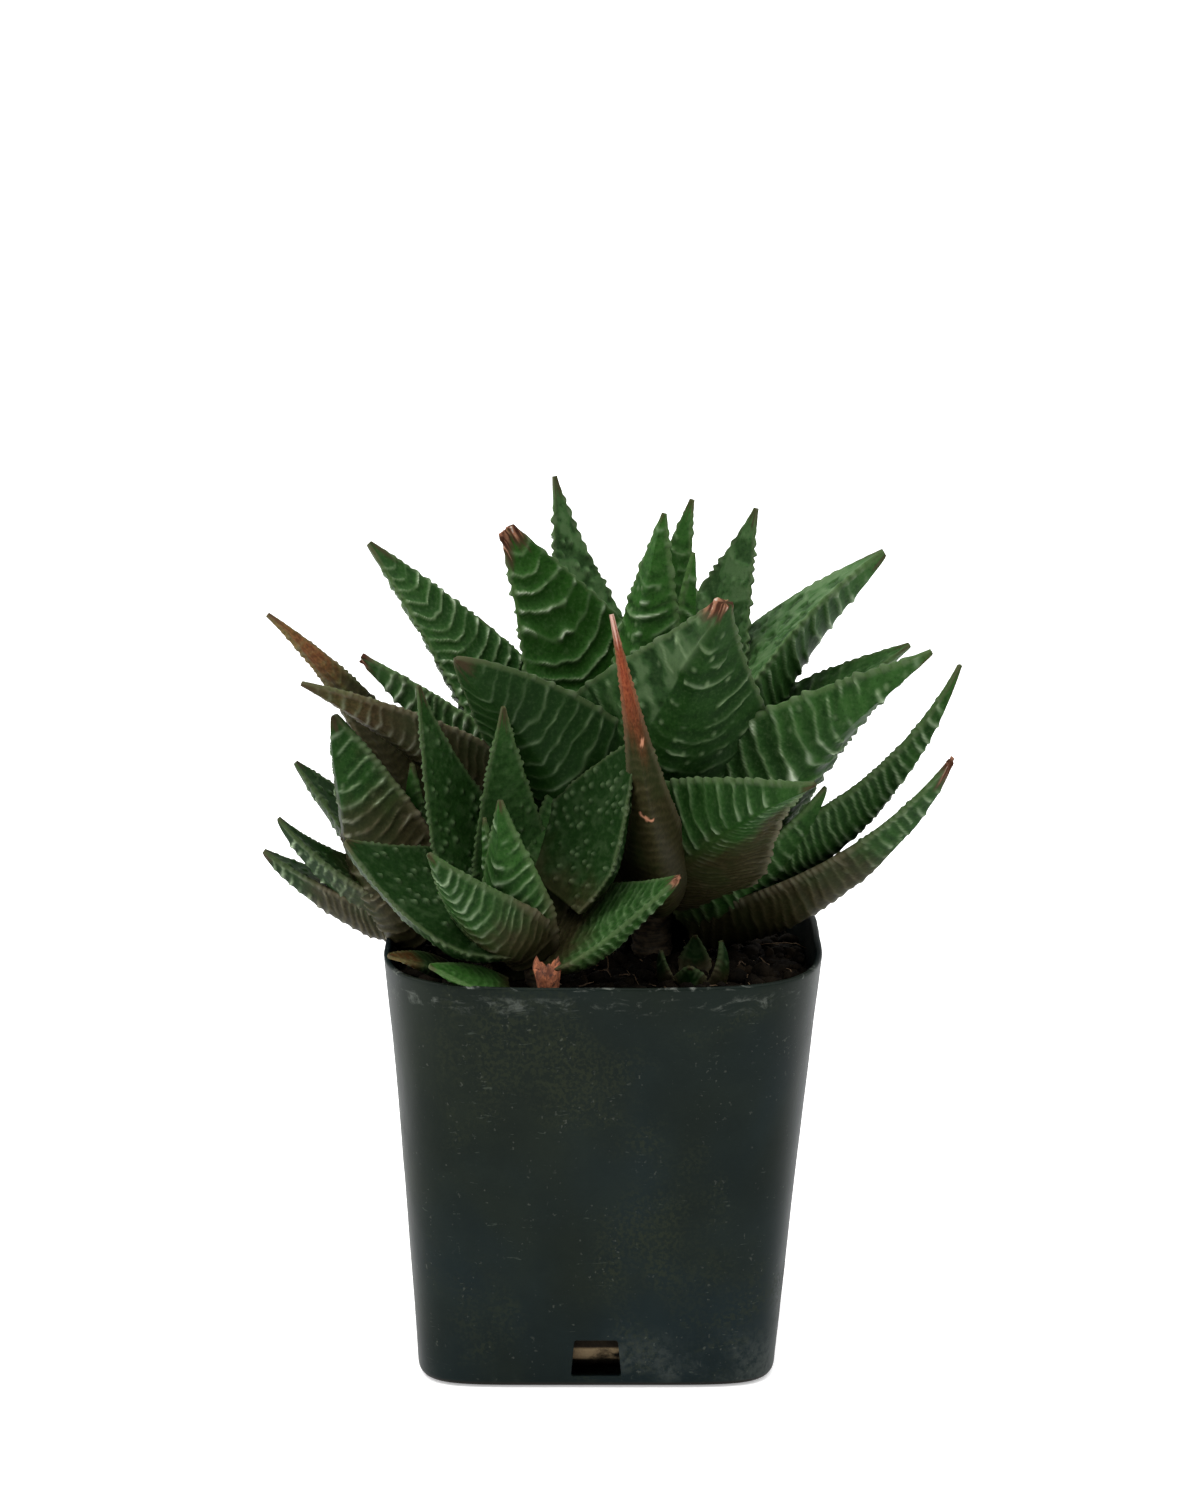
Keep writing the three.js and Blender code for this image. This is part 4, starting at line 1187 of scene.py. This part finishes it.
def cut(piece, cutter):
    modifier = piece.modifiers.new("cut", "BOOLEAN")
    modifier.operation = "DIFFERENCE"
    modifier.solver = "EXACT"
    modifier.object = cutter
    bpy.context.view_layer.objects.active = piece
    bpy.ops.object.modifier_apply(modifier=modifier.name)
    bpy.data.objects.remove(cutter)


print("points on a slot's outline:", len(slot_outline()))

# %% [markdown]
# ## Pot plastic
#
# The plastic is a dark blue-black with a half-matt skin, so its highlights are weak and a little green.
# Handling has left a dusty band under the rim, pale specks and fine scratches, faint olive smudges where
# compost dried on it, and a rubbed foot. Each is its own mask and its own coat, and the same masks make
# the surface rougher where it is dusty.

# %% Pot material
OLIVE_BLACK, BLUE_BLACK = (0.0032, 0.0056, 0.0036), (0.0019, 0.0055, 0.0067)
OLIVE_GREY, BLUE_GREY = (0.0064, 0.0096, 0.0058), (0.0038, 0.0087, 0.0105)
COMPOST_STAIN, POT_DUST = (0.020, 0.0240, 0.0125), (0.110, 0.120, 0.105)
PALE_SPECK, PALE_SCRATCH = (0.110, 0.115, 0.095), (0.080, 0.095, 0.075)
FOOT_SHADE = (0.006, 0.004, 0.002)
GREENISH = (0.86, 1.0, 0.95)  # tint of the plastic's highlights


def pot_dust(shade, height, clouds, fine):
    """Dust in a band under the rim, on the rim's edge and low on the walls; heights are in metres."""
    scuffs = shade.streaks((150, 150, 420), detail=5, roughness=0.7, distortion=1.2)
    band = height.between(0.0645, 0.0668) * height.between(0.0688, 0.0674) * scuffs.between(0.50, 0.66)
    foot = height.between(0.012, 0.003) * clouds.between(0.48, 0.62)
    rim = height.between(0.0693, 0.0696) * scuffs.between(0.56, 0.66)
    return (band * 0.45 + foot * 0.2 + rim) * fine.between(0.30, 0.62)


def pot_material():
    shade = new_material("nursery_pot_plastic")
    height = shade.part(shade.place(), "Z")
    clouds = shade.noise(45, detail=6, roughness=0.62)
    smudge = shade.noise(34, detail=5, roughness=0.65, distortion=0.5)
    fine = shade.noise(900, detail=4, roughness=0.65)
    speck = shade.noise(1300, detail=2, roughness=0.4)
    rub = shade.streaks((420, 420, 90), detail=4, roughness=0.6, distortion=0.8)
    scratch = shade.streaks((150, 150, 800), roughness=0.6, distortion=2.6)
    tint = shade.noise(20, distortion=0.4).between(0.35, 0.65)
    stain = smudge.between(0.50, 0.68) * shade.noise(1500).between(0.42, 0.62)
    dust = pot_dust(shade, height, clouds, fine)
    marks = scratch.between(0.64, 0.70) * rub.between(0.50, 0.60)
    dark = shade.mix(tint, OLIVE_BLACK, BLUE_BLACK)
    light = shade.mix(tint, OLIVE_GREY, BLUE_GREY)
    base = shade.coats(
        shade.mix(clouds.between(0.35, 0.65), dark, light),
        (stain * 0.5, COMPOST_STAIN),
        (dust, POT_DUST),
        (speck.between(0.66, 0.72) * rub.between(0.48, 0.64) * 0.25, PALE_SPECK),
        (marks * 0.22, PALE_SCRATCH),
        # painted shade: a contact shadow along the lowest millimetre of the wall
        (height.between(0.0011, 0.0004), FOOT_SHADE),
    )
    surface = fine * 0.5 + marks * 0.6 + clouds * 0.8
    shade.set(Base_Color=base, Roughness=0.42 + 0.12 * clouds + 0.25 * dust + 0.2 * stain)
    shade.set(Normal=shade.bump(surface, 0.25, 0.00015), Specular_IOR_Level=0.09, Specular_Tint=GREENISH)
    return shade.owner


pot_points, pot_faces = skin(pot_grid())
pot = outward(add_mesh("nursery_pot", pot_points, pot_faces, material=pot_material()))
for side in range(4):
    cut(pot, slot_cutter(side))

settle(pot, "pot_plastic", "pot")
print("pot faces:", len(pot.data.polygons))

# %% [markdown]
# ## Potting mix
#
# The mix fills the pot to a few millimetres under the rim. Its body is one lumpy skin that follows the
# wall, rounded at its foot like a root ball. The broad lumps are the solid model's own, and finer ones are
# added to them.

# %% Body of the mix
SOIL_TOP = 64.5
SOIL_WALL = WALL + 0.3  # inset of the mix, which just clears the wall
SOIL_FOOT, SOIL_ROUND = 1.5, 5.5


def soil_height(x, y):
    broad = np.sin(x * 0.21 + 1.3) * np.cos(y * 0.17 - 0.4)
    middle = np.sin(x * 0.63 - y * 0.38) * np.cos(y * 0.71 + x * 0.22)
    fine = 0.5 * value_noise(x / 1.3, y / 1.3, 61) + 0.3 * value_noise(x / 0.55, y / 0.55, 62)
    return SOIL_TOP + 1.1 * (0.6 * broad + 0.4 * middle) + 0.5 * fine


def soil_side(height):
    return rounded_square(height, SOIL_WALL + SOIL_ROUND * (1 - (height - SOIL_FOOT) / SOIL_ROUND) ** 2)


def soil_grid():
    rings = [rounded_square(SOIL_FOOT - 0.1, CENTRE_INSET), rounded_square(SOIL_FOOT - 0.1, 14)]
    rings += [soil_side(height) for height in (SOIL_FOOT, *np.linspace(1.8, 7, 12))]
    rings += [rounded_square(height, SOIL_WALL) for height in np.linspace(8, SOIL_TOP - 1.5, 60)]
    rim = rounded_square(SOIL_TOP, SOIL_WALL)
    middle = np.array([LEAN, 0, 0])
    for share in np.linspace(0.995, 0.02, 90):
        ring = middle + (rim - middle) * share
        ring[:, 2] = soil_height(ring[:, 0], ring[:, 1]) - 1.2 * smooth(0.93, 1, share)
        rings.append(ring)
    grid = np.stack(rings)
    x, y, z = grid[..., 0], grid[..., 1], grid[..., 2]
    rough = 0.55 * value_noise(np.arctan2(y, x) * 22, z / 1.4, 63) - 0.5
    side = (z < SOIL_TOP - 1.6) & (z > 1.45)
    outer = unit(np.stack([x, y, 0 * z], -1))
    return grid + outer * (np.where(side, rough, 0) * 0.6)[..., None]


soil_points, soil_faces = skin(soil_grid())
print("points on the body of the mix:", len(soil_points))

# %% [markdown]
# ## Crumbs and fibres
#
# On top of the body lies loose material: about fifteen hundred crumbs of compost and bark, and fine tan
# fibres. A particle system could scatter them, but the pieces have to be plain meshes in the end, so they
# are built as such. Every crumb is a rough ball from a small set, stretched and turned by seeded draws and
# sunk into the surface.

# %% Crumbs
CRUMBS, CRUMB_SHAPES, CRUMB_SEED = 1500, 8, 11
SMALLEST_CRUMB, LARGEST_CRUMB = 0.35, 2.0


def rough_ball(rng):
    """A small rough solid: an icosphere with its points pushed in and out."""
    ball = bmesh.new()
    bmesh.ops.create_icosphere(ball, subdivisions=2, radius=1)
    points = np.array([corner.co[:] for corner in ball.verts])
    faces = np.array([[corner.index for corner in face.verts] for face in ball.faces])
    ball.free()
    x, y, z = points.T
    push = 1 + 0.28 * value_noise(x * 1.7 + z, y * 1.7, int(rng.integers(1e6)))
    push += 0.12 * value_noise(x * 4, y * 4 + z * 3, int(rng.integers(1e6)))
    return points * push[:, None], faces


def inside_pot(rng, count, inset):
    """Places on the mix, even over its area."""
    half = TOP_HALF - inset
    places = rng.uniform(-half, half, (count * 2, 2))
    x, y = np.abs(places.T / half)
    return places[(x**TOP_SQUARENESS + y**TOP_SQUARENESS) < 1][:count] + (LEAN, 0)


def crumb_arrays():
    rng = np.random.default_rng(CRUMB_SEED)
    shapes = [rough_ball(rng) for _ in range(CRUMB_SHAPES)]
    points, faces, tints, total = [], [], [], 0
    for x, y in inside_pot(rng, CRUMBS, SOIL_WALL + LARGEST_CRUMB * 0.8):
        shape, corners = shapes[rng.integers(CRUMB_SHAPES)]
        size = SMALLEST_CRUMB + (LARGEST_CRUMB - SMALLEST_CRUMB) * rng.random() ** 2.5
        stretch = rng.uniform(0.6, 1.3, 3) * (1, 1, 0.75)
        turn = turned(rng.uniform(0, 2 * math.pi))
        height = soil_height(np.array([x]), np.array([y]))[0] + size * 0.25
        points.append((shape * stretch * size) @ turn + (x, y, height))
        faces.append(corners + total)
        tints.append(np.full(len(shape), rng.random()))
        total += len(shape)
    return np.concatenate(points), np.concatenate(faces), np.concatenate(tints)


crumb_points, crumb_faces, crumb_tints = crumb_arrays()
print("crumb points:", len(crumb_points))

# %% [markdown]
# A fibre is a thin tube along a bent path, pointed at both ends. The path follows the surface, with its
# middle lifted a little, as a dry fibre lies.

# %% Fibres
FIBRES, FIBRE_SEED, FIBRE_STEPS = 150, 12, 12
FIBRE_LENGTH, FIBRE_RADIUS, FIBRE_INSET = (3, 11), (0.07, 0.2), 6


def tube(path, radius, sides=6):
    """A thin tube along a path of points, pointed at both ends."""
    tangent = unit(np.gradient(path, axis=0))
    side = unit(np.cross(tangent, (0.31, 0.17, 0.94)))
    other = np.cross(tangent, side)
    angle = np.arange(sides) / sides * 2 * math.pi
    thick = radius * np.sin(np.linspace(0.25, math.pi - 0.25, len(path))) ** 0.5
    ring = side[:, None] * np.cos(angle)[:, None] + other[:, None] * np.sin(angle)[:, None]
    return path[:, None] + ring * thick[:, None, None]


def fibre_path(rng, x, y):
    """A bent line that lies on the mix, with its middle lifted a little."""
    size = rng.uniform(*FIBRE_LENGTH)
    heading = rng.uniform(0, 2 * math.pi)
    bend = rng.uniform(-1.6, 1.6)
    run = np.linspace(-0.5, 0.5, FIBRE_STEPS)
    turn = heading + bend * run
    path_x = x + size * np.cumsum(np.cos(turn)) / FIBRE_STEPS - size * math.cos(heading) / 2
    path_y = y + size * np.cumsum(np.sin(turn)) / FIBRE_STEPS - size * math.sin(heading) / 2
    lift = 0.35 + rng.uniform(0, 0.9) * np.cos(run * math.pi)
    return np.stack([path_x, path_y, soil_height(path_x, path_y) + lift], 1)


def fibre_arrays():
    rng = np.random.default_rng(FIBRE_SEED)
    points, quads, ends, total = [], [], [], 0
    for x, y in inside_pot(rng, FIBRES, FIBRE_INSET):
        path = fibre_path(rng, x, y)
        fibre, (sides, caps) = skin(tube(path, rng.uniform(*FIBRE_RADIUS)))
        points.append(fibre)
        quads.append(sides + total)
        ends.append(caps + total)
        total += len(fibre)
    return np.concatenate(points), [np.concatenate(quads), np.concatenate(ends)]


fibre_points, fibre_faces = fibre_arrays()
print("fibre points:", len(fibre_points))

# %% [markdown]
# ## Materials of the mix
#
# Wet peat is nearly black, and only a few crumbs are lighter bark, so each crumb carries its own tint. Low
# down, level with the drain slots, the same material has a pale band of roots, which shows through the
# slots.

# %% Dress the mix
WET_PEAT, DRY_PEAT, ROOTS = (0.0040, 0.0031, 0.0020), (0.0115, 0.0082, 0.0047), (0.165, 0.120, 0.068)
BARK_CRUMB, PALE_GRIT = (0.032, 0.021, 0.011), (0.048, 0.034, 0.019)
DARK_FIBRE, TAN_FIBRE = (0.060, 0.034, 0.016), (0.21, 0.135, 0.070)


def soil_material():
    shade = new_material("potting_mix_dark")
    clods = shade.noise(260, detail=4)
    fine = shade.noise(1500, detail=4, roughness=0.65)
    height = shade.part(shade.place(), "Z")
    # roots stop below the slots' tops, so the dark peat above is painted shade under their upper edges
    root_band = height.between(0.0067, 0.0061) * height.between(0.0036, 0.0044)
    base = shade.coats(
        shade.mix(clods.between(0.35, 0.65), WET_PEAT, DRY_PEAT),
        (shade.attribute("tint").between(0.86, 1.0) * 0.6, BARK_CRUMB),
        (fine.between(0.62, 0.74) * 0.4, PALE_GRIT),
        (root_band * clods.between(0.36, 0.56), ROOTS),
    )
    shade.set(Base_Color=base, Roughness=0.82 + 0.15 * fine, Specular_IOR_Level=0.08)
    shade.set(Normal=shade.bump(fine + clods, 0.6, 0.0004))
    return shade.owner


def fibre_material():
    shade = new_material("dry_fibre")
    drift = shade.noise(320)
    base = shade.mix(drift.between(0.3, 0.7), DARK_FIBRE, TAN_FIBRE)
    shade.set(Base_Color=base, Roughness=0.7 + 0.15 * drift, Normal=shade.bump(drift, 0.3, 0.0002))
    return shade.owner


soil_finish, fibre_finish = soil_material(), fibre_material()
soil_tints = np.zeros(len(soil_points))
soil = outward(add_mesh("potting_mix_body", soil_points, soil_faces, {"tint": soil_tints}, soil_finish))
settle(soil, "soil", "potting_mix")
crumbs = add_mesh("potting_mix_crumbs", crumb_points, [crumb_faces], {"tint": crumb_tints}, soil_finish)
settle(crumbs, "soil")
settle(add_mesh("potting_mix_fibres", fibre_points, fibre_faces, material=fibre_finish), "soil")
print("faces on the body of the mix:", len(soil.data.polygons))

# %% [markdown]
# ## Stems
#
# The rosettes stand on short stems that old leaf bases have ringed with scars. Hardly any of a stem shows,
# but what does show between the leaves must not be a smooth rod.

# %% Build the stems
STEMS = {"main": (3.2, 52, 99), "left": (2.2, 54, 74), "front": (2.2, 54, 72)}  # radius, foot and top
STEM_SIDES, STEM_RINGS, SCAR_PITCH = 36, 90, 2.1


def bark_material():
    shade = new_material("stem_skin")
    grain = shade.streaks((500, 500, 1500), detail=4)
    base = shade.mix(grain.between(0.35, 0.65), (0.040, 0.028, 0.015), (0.135, 0.100, 0.055))
    shade.set(Base_Color=base, Roughness=0.65 + 0.2 * grain, Normal=shade.bump(grain, 0.5, 0.0004))
    return shade.owner


def add_stem(name, radius, foot, top, material):
    x, y, _ = AXES[name]
    rings = []
    angle = np.arange(STEM_SIDES) / STEM_SIDES * 2 * math.pi
    for height in np.linspace(foot, top, STEM_RINGS):
        scars = 0.22 * abs(math.sin(height * math.pi / SCAR_PITCH)) ** 3
        taper = radius * (1 - 0.4 * max(0, (height - top + 4) / 4))
        lumps = 0.12 * value_noise(angle * 3, angle * 0 + height / 1.7, 71)
        size = taper * (1 + lumps) + scars
        rings.append(np.stack([x + size * np.cos(angle), y + size * np.sin(angle), angle * 0 + height], 1))
    points, faces = skin(np.stack(rings))
    return outward(add_mesh(f"{name}_stem_scarred", points, faces, material=material))


bark = bark_material()
for name, measures in STEMS.items():
    settle(add_stem(name, *measures, bark), "stem", f"{name}_stem")

print("stems:", ", ".join(STEMS))

# %% [markdown]
# ## The dried flower stalk
#
# Behind the front rim stands the stub of a flower stalk. It dried orange-brown and tore, so it widens to a
# ragged, hollow top. It is a column of rings again: the last of them turn inwards and down to make the
# hollow.

# %% Build the dried stalk
STUB_FOOT, STUB_HEAD = np.array([-7.5, -31, 61]), np.array([-8, -32, 72.6])
STUB_RADIUS, STUB_SIDES, STUB_RINGS = 1.7, 72, 60


def stub_material():
    shade = new_material("dried_stalk_orange")
    grain = shade.streaks((900, 900, 350), detail=5, roughness=0.7, distortion=0.4)
    spots = shade.noise(1100)
    base = shade.mix(grain.between(0.35, 0.65), (0.11, 0.032, 0.013), (0.44, 0.145, 0.062))
    base = shade.mix(spots.between(0.55, 0.68) * 0.8, base, (0.045, 0.018, 0.010))
    shade.set(Base_Color=base, Roughness=0.8 + 0.1 * grain, Normal=shade.bump(grain + spots, 0.8, 0.0004))
    return shade.owner


def stub_grid():
    angle = np.arange(STUB_SIDES) / STUB_SIDES * 2 * math.pi
    rings = []
    for along in np.linspace(0, 1, STUB_RINGS):
        middle = STUB_FOOT + (STUB_HEAD - STUB_FOOT) * along
        ragged = value_noise(angle * 3.5, angle * 0 + along * 9, 81) * (0.25 + 0.5 * along**2)
        radius = STUB_RADIUS * (0.8 + 0.5 * along**2) + 0.35 * ragged
        tear = (0.9 * np.sin(angle * 3) + 0.7 * value_noise(angle * 5, angle * 0 + 3, 82)) * along**3
        rings.append(middle + np.stack([radius * np.cos(angle), radius * np.sin(angle), tear], 1))
    torn_edge = rings[-1]
    centre = torn_edge.mean(0)
    for inward in (0.75, 0.5, 0.25):
        ring = centre + (torn_edge - centre) * inward
        ring[:, 2] -= 1.1 * (1 - inward) + 0.3 * value_noise(angle * 4, angle * 0 + inward * 7, 83)
        rings.append(ring)
    return np.stack(rings)


stub_points, stub_faces = skin(stub_grid())
stub = outward(add_mesh("dried_stalk_stub", stub_points, stub_faces, material=stub_material()))
settle(stub, "dried_stalk", "old_flower_stalk")
print("stalk faces:", len(stub.data.polygons))

# %% [markdown]
# ## Floor and light
#
# The photograph has a plain white ground and one broad, soft light from above. The floor is a large pale
# sheet that glows a little, because in the photograph it is white right up to the pot's foot. The sky is
# white overhead and dimmer low down and towards the camera's side, so that the pot's front stays dark
# while its rounded edges pick up pale strips from the left and, more weakly, from the right.

# %% Stage the scene
GROUND_HALF, GROUND_DROP = 9000, 0.2
SOFTBOX_PLACE, SOFTBOX_AIM = (-0.2, -0.28, 0.9), (0, 0, 0.1)
SOFTBOX_SIDE, SOFTBOX_POWER = 0.5, 2.9


def floor_material():
    shade = new_material("studio_floor")
    white = shade.mix(shade.noise(6, detail=2) * 0.1, (0.90, 0.90, 0.90), (0.89, 0.89, 0.89))
    shade.set(Base_Color=white, Roughness=0.9, Specular_IOR_Level=0.1)
    shade.set(Emission_Color=(1, 1, 1), Emission_Strength=0.38)
    return shade.owner


def add_floor():
    corners = [(-1, -1), (1, -1), (1, 1), (-1, 1)]
    grid = np.array([(x * GROUND_HALF, y * GROUND_HALF, -GROUND_DROP) for x, y in corners])
    floor = add_mesh("studio_floor", grid, [np.array([[0, 1, 2, 3]])], material=floor_material())
    floor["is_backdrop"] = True


def add_softbox():
    data = bpy.data.lights.new("top_softbox", "AREA")
    data.shape = "RECTANGLE"
    data.size = SOFTBOX_SIDE
    data.size_y = SOFTBOX_SIDE
    data.energy = SOFTBOX_POWER
    light = bpy.data.objects.new("top_softbox", data)
    light.location = SOFTBOX_PLACE
    aim = np.array(SOFTBOX_AIM) - np.array(SOFTBOX_PLACE)
    light.rotation_euler = (math.atan2(math.hypot(aim[0], aim[1]), -aim[2]), 0, math.atan2(-aim[0], aim[1]))
    bpy.context.scene.collection.objects.link(light)


def add_sky():
    world = bpy.data.worlds.new("studio_sky")
    bpy.context.scene.world = world
    sky = Shader(world)
    place = sky.place("Generated")
    x, y, z = (sky.part(place, axis) for axis in "XYZ")
    overhead = 0.30 + 1.85 * z.between(0.1, 0.95)
    away_from_camera = 0.30 + 0.70 * y.between(-0.85, -0.15)
    left, right = 1.0 * x.between(-0.12, -0.85), 0.35 * x.between(0.12, 0.85)
    sky.set(Color=(1, 1, 1), Strength=overhead * away_from_camera + left + right)


add_floor()
add_sky()
add_softbox()
bpy.context.scene.view_settings.view_transform = "Standard"
print("softbox, watts:", SOFTBOX_POWER)

# %% [markdown]
# ## Size
#
# The dressed model's box is printed beside the solid model's box. The dressed model has to keep
# to the solid model's box.

# %% Measure and finish
bpy.context.view_layer.update()
dressed_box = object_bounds()
sizes = {"cad": [list(corner) for corner in cad_box], "visual": [list(corner) for corner in dressed_box]}
for name, box in sizes.items():
    print(name, "box, mm:", [[round(v * 1000, 1) for v in corner] for corner in box])
